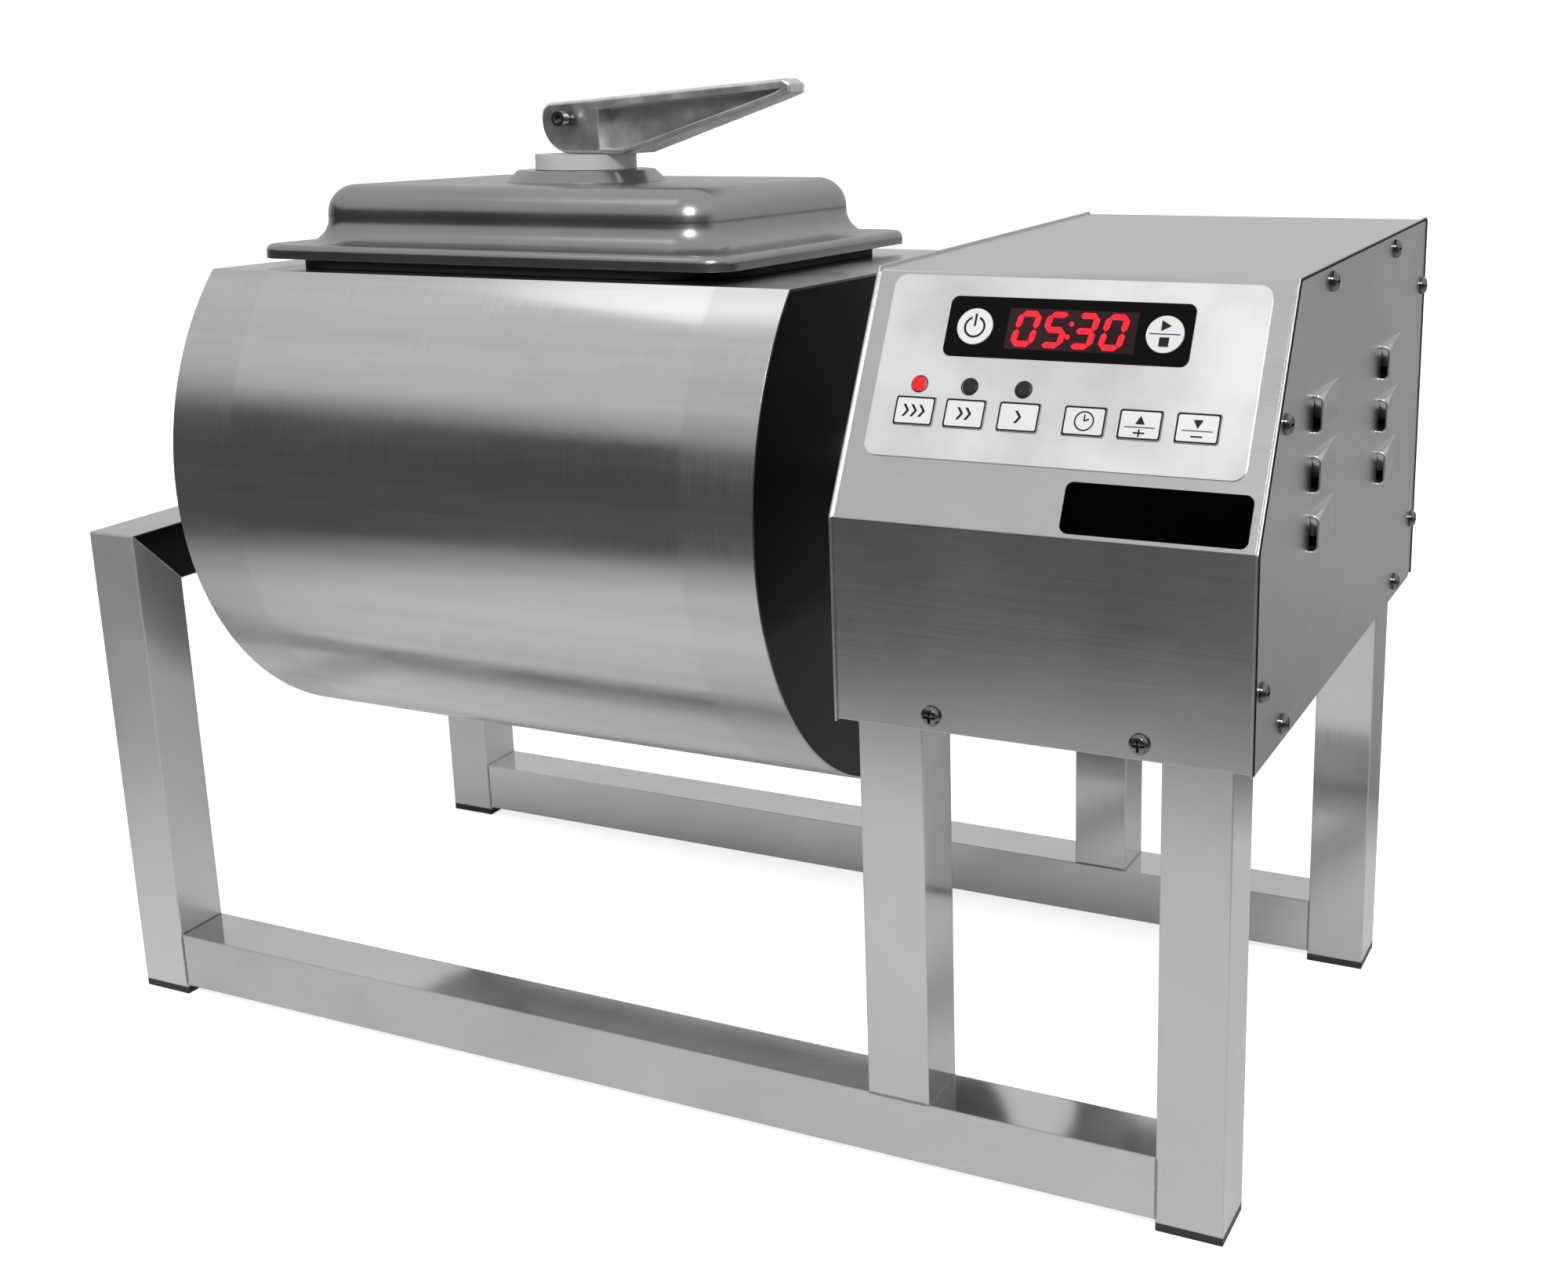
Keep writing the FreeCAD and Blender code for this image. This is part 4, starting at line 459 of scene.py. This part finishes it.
def dress_nodes():
    """Gives every CAD node the material of its slot, or its own one."""
    for part in frame["record"]["subparts"]:
        name, slot = part["node"], part["material_slot"]
        choice = NODE_MATERIALS.get(name, SLOT_MATERIALS.get(slot, slot))
        item = NODES[name]
        for place in item.material_slots:
            place.material = MATERIALS[choice]


def new_piece(name, mesh_maker, material, body):
    """A new piece from bmesh code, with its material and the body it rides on."""
    mesh = bpy.data.meshes.new(name)
    build = bmesh.new()
    mesh_maker(build)
    bmesh.ops.recalc_face_normals(build, faces=build.faces)
    build.to_mesh(mesh)
    build.free()
    mesh.materials.append(MATERIALS[material])
    item = bpy.data.objects.new(name, mesh)
    bpy.context.scene.collection.objects.link(item)
    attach(item, body)
    return item


def add_plate(build, outline, low, high):
    """A thin plate on the slope from an outline of points in millimetres."""
    lower = [build.verts.new(on_slope(u, v, low)) for u, v in outline]
    upper = [build.verts.new(on_slope(u, v, high)) for u, v in outline]
    build.faces.new(upper)
    build.faces.new(list(reversed(lower)))
    count = len(outline)
    for number in range(count):
        following = (number + 1) % count
        build.faces.new((lower[number], lower[following], upper[following], upper[number]))


def add_band(build, inside, outside, low, high):
    """A thin closed band on the slope between two outlines with as many points."""
    rings = [
        [build.verts.new(on_slope(u, v, w)) for u, v in outline]
        for outline, w in ((inside, low), (outside, low), (outside, high), (inside, high))
    ]
    count = len(inside)
    for ring, following_ring in zip(rings, rings[1:] + rings[:1]):
        for number in range(count):
            following = (number + 1) % count
            build.faces.new((ring[number], ring[following],
                             following_ring[following], following_ring[number]))


def arc_points(u, v, radius, start=0.0, end=360.0, steps=32):
    full = abs(end - start) >= 360.0
    count = steps if full else steps + 1
    angles = [math.radians(start + (end - start) * n / steps) for n in range(count)]
    return [(u + radius * math.cos(a), v + radius * math.sin(a)) for a in angles]


def rounded_outline(u, v, width, height, radius, steps=5):
    points = []
    for side_u, side_v, start in ((1, 1, 0), (-1, 1, 90), (-1, -1, 180), (1, -1, 270)):
        centre_u = u + side_u * (width / 2 - radius)
        centre_v = v + side_v * (height / 2 - radius)
        points += arc_points(centre_u, centre_v, radius, start, start + 90, steps)
    return points


def bar_outline(first, second, width):
    """A straight stroke with square ends between two points."""
    a, b = Vector(first), Vector(second)
    side = (b - a).normalized().orthogonal() * (width / 2)
    return [tuple(a + side), tuple(a - side), tuple(b - side), tuple(b + side)]


def add_stroke(build, first, second, width, face):
    add_plate(build, bar_outline(first, second, width), face, face + INK / MM)


def add_arc_stroke(build, u, v, radius, start, end, width, face):
    """A curved stroke, part of a circle."""
    inner = arc_points(u, v, radius - width / 2, start, end)
    outer = arc_points(u, v, radius + width / 2, start, end)
    if abs(end - start) >= 360.0:
        add_band(build, inner, outer, face, face + INK / MM)
    else:
        add_plate(build, inner + list(reversed(outer)), face, face + INK / MM)


def add_key_frames():
    """The thin dark line round each oblong key's cap."""
    face = KEY_FACE / MM
    width, height = KEY_SIZE
    for name, u in {**SPEED_KEYS, **TIME_KEYS}.items():
        def frame_line(build):
            outer = rounded_outline(u, KEY_ROW, width, height, KEY_CORNER)
            inner = rounded_outline(u, KEY_ROW, width - 2 * FRAME_LINE, height - 2 * FRAME_LINE,
                                    KEY_CORNER - FRAME_LINE / 2)
            add_band(build, inner, outer, face, face + INK / MM)
        new_piece(f"{name}_key_frame", frame_line, "ink", f"key_{name}")


def add_speed_marks():
    """One, two or three chevrons for slow, medium and fast."""
    face = KEY_FACE / MM
    above, below = KEY_ROW + CHEVRON_HALF, KEY_ROW - CHEVRON_HALF
    for name, count in (("fast", 3), ("medium", 2), ("slow", 1)):
        middle = SPEED_KEYS[name]

        def chevrons(build):
            for number in range(count):
                tip = middle + (number - (count - 1) / 2) * CHEVRON_PITCH + CHEVRON_NOSE
                end = tip - CHEVRON_SLANT
                outline = [
                    (tip, KEY_ROW), (end, above), (end - CHEVRON_WIDTH, above),
                    (tip - CHEVRON_WIDTH, KEY_ROW), (end - CHEVRON_WIDTH, below), (end, below),
                ]
                add_plate(build, outline, face, face + INK / MM)
        new_piece(f"{name}_key_mark", chevrons, "ink", f"key_{name}")


def add_time_marks():
    """A clock face, and arrows up and down over a short bar."""
    face = KEY_FACE / MM
    u = TIME_KEYS["clock"]

    def clock(build):
        v = KEY_ROW + 0.1
        add_arc_stroke(build, u, v, CLOCK_RADIUS, 0, 360, CLOCK_LINE, face)
        for across, up in CLOCK_HANDS:
            add_stroke(build, (u, v), (u + across, v + up), CLOCK_LINE, face)
    new_piece("clock_key_mark", clock, "ink", "key_clock")
    for name, way in (("up", 1), ("down", -1)):
        middle = TIME_KEYS[name]

        def arrow(build):
            v = KEY_ROW + ARROW_RISE
            foot = v - ARROW_FOOT * way
            add_plate(build, [(middle - ARROW_HALF, foot), (middle + ARROW_HALF, foot),
                              (middle, v + ARROW_TIP * way)], face, face + INK / MM)
            v = KEY_ROW - DIVIDER_DROP
            add_stroke(build, (middle - DIVIDER_HALF, v), (middle + DIVIDER_HALF, v),
                       DIVIDER_LINE, face)
            v = KEY_ROW - SIGN_DROP
            add_stroke(build, (middle - SIGN_HALF, v), (middle + SIGN_HALF, v), SIGN_LINE, face)
            if way > 0:
                add_stroke(build, (middle, v - SIGN_STEM_HALF), (middle, v + SIGN_STEM_HALF),
                           SIGN_LINE, face)
        new_piece(f"{name}_key_mark", arrow, "ink", f"key_{name}")


def add_round_marks():
    """A power sign, and a start triangle over a stop square."""
    face = KEY_FACE / MM
    u, v = ROUND_KEYS["power"], WINDOW_ROW

    def power(build):
        add_arc_stroke(build, u, v - POWER_DROP, POWER_RADIUS, 112, 428, POWER_LINE, face)
        add_stroke(build, (u, v), (u, v + POWER_STEM), POWER_LINE, face)
    new_piece("power_key_mark", power, "ink", "key_power")
    u = ROUND_KEYS["start"]

    def start(build):
        add_stroke(build, (u - START_DIVIDER_HALF, v), (u + START_DIVIDER_HALF, v),
                   START_DIVIDER_LINE, face)
        for sign in (START_TRIANGLE, STOP_SQUARE):
            add_plate(build, [(u + x, v + y) for x, y in sign], face, face + INK / MM)
    new_piece("start_key_mark", start, "ink", "key_start")


def add_lens_rings():
    """The thin dark printed ring round each of the three lenses."""
    face = LABEL_FACE / MM

    def rings(build):
        for u in SPEED_KEYS.values():
            inner, outer = (arc_points(u, LENS_ROW, radius) for radius in LENS_RING)
            add_band(build, inner, outer, face, face + INK / MM)
    new_piece("lens_rings", rings, "ink", "base")


SEGMENTS = {
    "top": ((0, 1), (1, 1)), "upper_right": ((1, 1), (1, 0.5)), "lower_right": ((1, 0.5), (1, 0)),
    "bottom": ((1, 0), (0, 0)), "lower_left": ((0, 0), (0, 0.5)), "upper_left": ((0, 0.5), (0, 1)),
    "middle": ((0, 0.5), (1, 0.5)),
}
NUMERALS = {
    "0": "top upper_right lower_right bottom lower_left upper_left",
    "5": "top upper_left middle lower_right bottom",
    "3": "top upper_right middle lower_right bottom",
}


def segment_outline(first, second, width):
    """A bar with pointed ends, a little shorter than the distance it spans."""
    a, b = Vector(first), Vector(second)
    along = (b - a).normalized()
    side = along.orthogonal()
    half = width / 2
    start, end = a + along * SEGMENT_GAP, b - along * SEGMENT_GAP
    return [tuple(p) for p in (
        start, start + along * half + side * half, end - along * half + side * half,
        end, end - along * half - side * half, start + along * half - side * half,
    )]


def add_digits():
    """Lit seven-segment figures and a colon, leaning a little to the right."""
    face = LABEL_FACE / MM
    width, height = DIGIT_SIZE
    stroke = DIGIT_STROKE

    def leaning(u, v):
        return u + (v - WINDOW_ROW) * math.tan(DIGIT_LEAN), v

    for number, numeral in enumerate("0530"):
        left = DIGIT_MIDDLE + (number - 1.5) * DIGIT_PITCH - (width - stroke) / 2
        low = WINDOW_ROW - (height - stroke) / 2

        def digit(build):
            for part in NUMERALS[numeral].split():
                ends = [
                    (left + x * (width - stroke), low + y * (height - stroke))
                    for x, y in SEGMENTS[part]
                ]
                outline = [leaning(u, v) for u, v in segment_outline(*ends, stroke)]
                add_plate(build, outline, face, face + SEGMENT_FACE)
        new_piece(f"digit_{number + 1}", digit, "segment", "base")

    def colon(build):
        for rise in (-COLON_RISE, COLON_RISE):
            u, v = leaning(DIGIT_MIDDLE, WINDOW_ROW + rise)
            dot = arc_points(u, v, COLON_RADIUS, steps=20)
            add_plate(build, dot, face, face + SEGMENT_FACE)
    new_piece("digit_colon", colon, "segment", "base")


def join_rings(build, rings):
    """The skin over a row of rings with as many points, closed at both ends."""
    sides = len(rings[0])
    for ring, following in zip(rings, rings[1:]):
        for n in range(sides):
            m = (n + 1) % sides
            build.faces.new((ring[n], ring[m], following[m], following[n]))
    build.faces.new(rings[0])
    build.faces.new(rings[-1])


def add_tube(build, points, radii, sides=8):
    """A closed round tube through points, with a radius at each of them."""
    rings = []
    for number, point in enumerate(points):
        before, after = points[max(number - 1, 0)], points[min(number + 1, len(points) - 1)]
        along = (after - before).normalized()
        side = along.cross(Vector((1.0, 0.7, 0.3))).normalized()
        other = along.cross(side)
        rings.append([
            build.verts.new(point + radii[number] * (side * math.cos(a) + other * math.sin(a)))
            for a in (math.tau * n / sides for n in range(sides))
        ])
    join_rings(build, rings)


def add_gap_shadows():
    """Painted shadow: a dark bead that stands for the shade in the gap on each side plate's face, just inside its
    front, slope, top and back.
    """
    low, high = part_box("box_cover")
    front, back, top = low[1], high[1], high[2]
    crest = front + (top - BEND_HEIGHT) / math.tan(SLOPE_ANGLE)
    corners = [
        (front, low[2]), (front, BEND_HEIGHT), (crest, top), (back, top), (back, low[2]),
    ]
    outline = [corners[0]]
    for before, corner, after in zip(corners, corners[1:], corners[2:]):
        corner = Vector(corner)
        for step in range(7):
            share = step / 6
            start = corner + (Vector(before) - corner).normalized() * FOLD_REACH
            end = corner + (Vector(after) - corner).normalized() * FOLD_REACH
            outline.append(tuple(start * (1 - share) ** 2 + corner * 2 * share * (1 - share)
                                 + end * share ** 2))
    outline.append(corners[-1])
    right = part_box("box_right_plate")[0][0] + PLATE_THICKNESS
    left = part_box("box_left_plate")[0][0]
    for name, x in (("right_gap_shadow", right), ("left_gap_shadow", left)):
        def gap(build):
            points = [Vector((x, y, z)) for y, z in outline]
            add_tube(build, points, [GAP_SHADOW_RADIUS] * len(points), sides=6)
        new_piece(name, gap, "gap_shadow_dark", "base")


def add_louvre_lips():
    """The rounded cut edge round the mouth of each pressed louvre, in a lighter steel that paints a highlight on
    it.
    """
    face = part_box("box_right_plate")[1][0] - LOUVRE_RISE
    half, rise = LOUVRE_HALF - LIP_INSET, LOUVRE_RISE - LIP_INSET
    corner = LOUVRE_CORNER - LIP_INSET

    def lips(build):
        profile = [(0.0, -half)]
        profile += arc_points(rise - corner, corner - half, corner, -90, 0, 6)
        profile += arc_points(rise - corner, half - corner, corner, 0, 90, 6)
        profile += [(0.0, half)]
        for y, z in LOUVRES:
            points = [Vector((face + out, y, z + up)) for out, up in profile]
            add_tube(build, points, [LIP_RADIUS] * len(points))
    new_piece("louvre_lips", lips, "lip_steel_highlight", "base")


def add_louvre_throats():
    """The curved end wall that leads into each louvre from above, deepest at its lower edge."""
    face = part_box("box_right_plate")[1][0] - LOUVRE_RISE
    inside = LOUVRE_CORNER - LIP_INSET
    top = LOUVRE_HALF - LIP_INSET
    bottom = -THROAT_REACH * LOUVRE_HALF
    steps = 14

    def throats(build):
        for y, z in LOUVRES:
            rows = []
            for step in range(steps + 1):
                share = step / steps
                up = top + (bottom - top) * share
                depth = THROAT_START + THROAT_DEPTH * (1 - math.cos(share * math.pi / 2))
                over = max(up - (top - inside), 0.0)
                out = LOUVRE_RISE - LOUVRE_CORNER + math.sqrt(max(inside ** 2 - over ** 2, 0.0))
                out -= depth * LOUVRE_RISE / LOUVRE_LENGTH
                rows.append([
                    build.verts.new((face + x, y + depth + back, z + up))
                    for x, back in ((-PLATE_THICKNESS, 0.0), (out, 0.0),
                                    (out, THROAT_SHEET), (-PLATE_THICKNESS, THROAT_SHEET))
                ])
            join_rings(build, rows)
    new_piece("louvre_throats", throats, "side_steel", "base")


def soft_wave(position, seed):
    """A smooth uneven number from -1 to 1 along a weld."""
    return 0.6 * math.sin(position * 1700 + seed) + 0.4 * math.sin(position * 2900 + 2.1 * seed)


def add_welds():
    """Ground weld beads along the joints of the tubes, each with small ripples."""
    rail_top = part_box("front_rail")[1][2]
    rail_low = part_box("front_rail")[0][2]
    seams = []
    for rail, outer, inner in (("front_rail", 0, 1), ("back_rail", 1, 0)):
        low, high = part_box(rail)
        y_out, y_in = (low[1], high[1]) if rail == "front_rail" else (high[1], low[1])
        for x in (low[0], high[0]):
            seams.append(((x, y_out, rail_low), (x, y_out, rail_top)))
            seams.append(((x, y_out, rail_top), (x, y_in, rail_top)))
            seams.append(((x, y_in, rail_low), (x, y_in, rail_top)))
        leg_low, leg_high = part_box("front_middle_leg" if rail == "front_rail" else "back_middle_leg")
        for x in (leg_low[0], leg_high[0]):
            seams.append(((x, y_out, rail_top), (x, y_in, rail_top)))
        for y in (y_out, y_in):
            seams.append(((leg_low[0], y, rail_top), (leg_high[0], y, rail_top)))

    def beads(build):
        for number, (first, second) in enumerate(seams):
            first, second = Vector(first), Vector(second)
            length = (second - first).length
            points = [first.lerp(second, step / WELD_STEPS) for step in range(WELD_STEPS + 1)]
            radii = [
                (WELD_RADIUS + WELD_RIPPLE * soft_wave(length * step / WELD_STEPS, number))
                * min(1.0, 0.35 + 0.3 * min(step, WELD_STEPS - step))
                for step in range(WELD_STEPS + 1)
            ]
            add_tube(build, points, radii, sides=10)
    item = new_piece("weld_beads", beads, "weld_steel", "base")
    for polygon in item.data.polygons:
        polygon.use_smooth = True


def add_camera():
    camera = bpy.data.cameras.new("photo_camera")
    camera.lens = CAMERA_LENS
    camera.sensor_fit = "HORIZONTAL"
    camera.sensor_width = FILM_WIDTH
    camera.shift_x, camera.shift_y = CAMERA_SHIFT
    camera.clip_end = VIEW_END
    item = bpy.data.objects.new("photo_camera", camera)
    bpy.context.scene.collection.objects.link(item)
    right = CAMERA_FORWARD.cross(CAMERA_UP).normalized()
    up = right.cross(CAMERA_FORWARD).normalized()
    turn = Matrix((right, up, -CAMERA_FORWARD)).transposed().to_4x4()
    item.matrix_world = Matrix.Translation(CAMERA_PLACE) @ turn
    bpy.context.scene.camera = item


def add_light(name, place, target, size, power):
    light = bpy.data.lights.new(name, "AREA")
    light.shape = "RECTANGLE"
    light.size, light.size_y = size
    light.energy = power
    item = bpy.data.objects.new(name, light)
    bpy.context.scene.collection.objects.link(item)
    item.location = place
    direction = Vector(target) - Vector(place)
    item.rotation_euler = direction.to_track_quat("-Z", "Y").to_euler()


def add_floor():
    """A pale bench; polished metal sees it end a little in front of the machine, and sees a painted glow on it
    near the machine that lightens the shade under it.
    """
    mesh = bpy.data.meshes.new("floor")
    build = bmesh.new()
    bmesh.ops.create_grid(build, x_segments=1, y_segments=1, size=FLOOR_HALF)
    build.to_mesh(mesh)
    build.free()
    recipe = Recipe("floor", (FLOOR_GREY,) * 3, roughness=0.9)
    path = recipe.add("ShaderNodeLightPath")
    centre = recipe.add("ShaderNodeVectorMath")
    centre.operation = "LENGTH"
    recipe.put(centre.inputs[0], recipe.position)
    distance = centre.outputs["Value"]
    place = recipe.add("ShaderNodeSeparateXYZ", Vector=recipe.position)
    ahead = recipe.span(place.outputs["Y"], 1.0, 0.35, -0.35, 0.35)
    fade = recipe.maths("MULTIPLY", recipe.span(distance, 0.0, 1.0, 0.66, 1.16), ahead)
    behind = recipe.ramp(recipe.span(place.outputs["Y"], 0.0, 1.0, 0.2, 2.2),
                         (0.07, 1.0), (0.14, 0.40), (0.5, 0.9))
    mirrored = recipe.tint(recipe.ramp(fade, (0.0, 0.70), (1.0, 0.08)), behind)
    tone = recipe.add("ShaderNodeMix")
    tone.data_type = "RGBA"
    recipe.put(tone.inputs[0], path.outputs["Is Glossy Ray"])
    tone.inputs[6].default_value = (FLOOR_GREY, FLOOR_GREY, FLOOR_GREY, 1.0)
    recipe.put(tone.inputs[7], mirrored)
    recipe.feed("Base Color", tone.outputs[2])
    # Painted light: a faint glow near the machine, seen only in reflections, lightens the shade under it.
    glow_near_painted = recipe.maths("MULTIPLY", path.outputs["Is Glossy Ray"],
                        recipe.span(distance, 0.10, 0.0, 0.40, 0.66))
    seen = recipe.maths("MULTIPLY", path.outputs["Is Camera Ray"], FLOOR_SEEN)
    see = recipe.maths("ADD", seen, glow_near_painted)
    recipe.shader.inputs["Emission Color"].default_value = (1.0, 1.0, 1.0, 1.0)
    recipe.feed("Emission Strength", see)
    mesh.materials.append(recipe.material)
    item = bpy.data.objects.new("floor", mesh)
    bpy.context.scene.collection.objects.link(item)


def grey_steps(tree, value, stops):
    """A ramp of greys over a value from -1 to 1."""
    spread = tree.nodes.new("ShaderNodeMapRange")
    spread.inputs["From Min"].default_value = -1.0
    tree.links.new(value, spread.inputs["Value"])
    ramp = tree.nodes.new("ShaderNodeValToRGB")
    tree.links.new(spread.outputs[0], ramp.inputs["Fac"])
    elements = ramp.color_ramp.elements
    while len(elements) < len(stops):
        elements.new(0.5)
    for element, (place, grey) in zip(elements, stops):
        element.position = (place + 1) / 2
        element.color = (grey, grey, grey * 1.01, 1.0)
    return ramp.outputs["Color"]


def add_world():
    """White behind the object for the eye; metal sees a dim room under a bright ceiling."""
    world = bpy.data.worlds.new("studio")
    world.use_nodes = True
    bpy.context.scene.world = world
    tree = world.node_tree
    tree.nodes.clear()
    links = tree.links
    direction = tree.nodes.new("ShaderNodeTexCoord").outputs["Generated"]
    split = tree.nodes.new("ShaderNodeSeparateXYZ")
    links.new(direction, split.inputs[0])
    front = grey_steps(tree, split.outputs["Z"], ROOM_IN_FRONT)
    back = grey_steps(tree, split.outputs["Z"], ROOM_BEHIND)
    side = tree.nodes.new("ShaderNodeMapRange")
    side.inputs["From Min"].default_value = -ROOM_BLEND
    side.inputs["From Max"].default_value = ROOM_BLEND
    links.new(split.outputs["Y"], side.inputs["Value"])
    room = tree.nodes.new("ShaderNodeMix")
    room.data_type = "RGBA"
    links.new(side.outputs[0], room.inputs[0])
    links.new(front, room.inputs[6])
    links.new(back, room.inputs[7])
    unseen = tree.nodes.new("ShaderNodeBackground")
    links.new(room.outputs[2], unseen.inputs["Color"])
    seen = tree.nodes.new("ShaderNodeBackground")
    seen.inputs["Color"].default_value = (1.0, 1.0, 1.0, 1.0)
    path = tree.nodes.new("ShaderNodeLightPath")
    choose = tree.nodes.new("ShaderNodeMixShader")
    links.new(path.outputs["Is Camera Ray"], choose.inputs[0])
    links.new(unseen.outputs[0], choose.inputs[1])
    links.new(seen.outputs[0], choose.inputs[2])
    output = tree.nodes.new("ShaderNodeOutputWorld")
    links.new(choose.outputs[0], output.inputs["Surface"])


dress_nodes()
add_key_frames()
add_speed_marks()
add_time_marks()
add_round_marks()
add_lens_rings()
add_digits()
add_gap_shadows()
add_louvre_lips()
add_louvre_throats()
add_welds()
add_camera()
add_floor()
add_world()
add_light("overhead", *OVERHEAD_LAMP)
add_light("front", *FRONT_LAMP)
bpy.context.scene.view_settings.view_transform = "Standard"
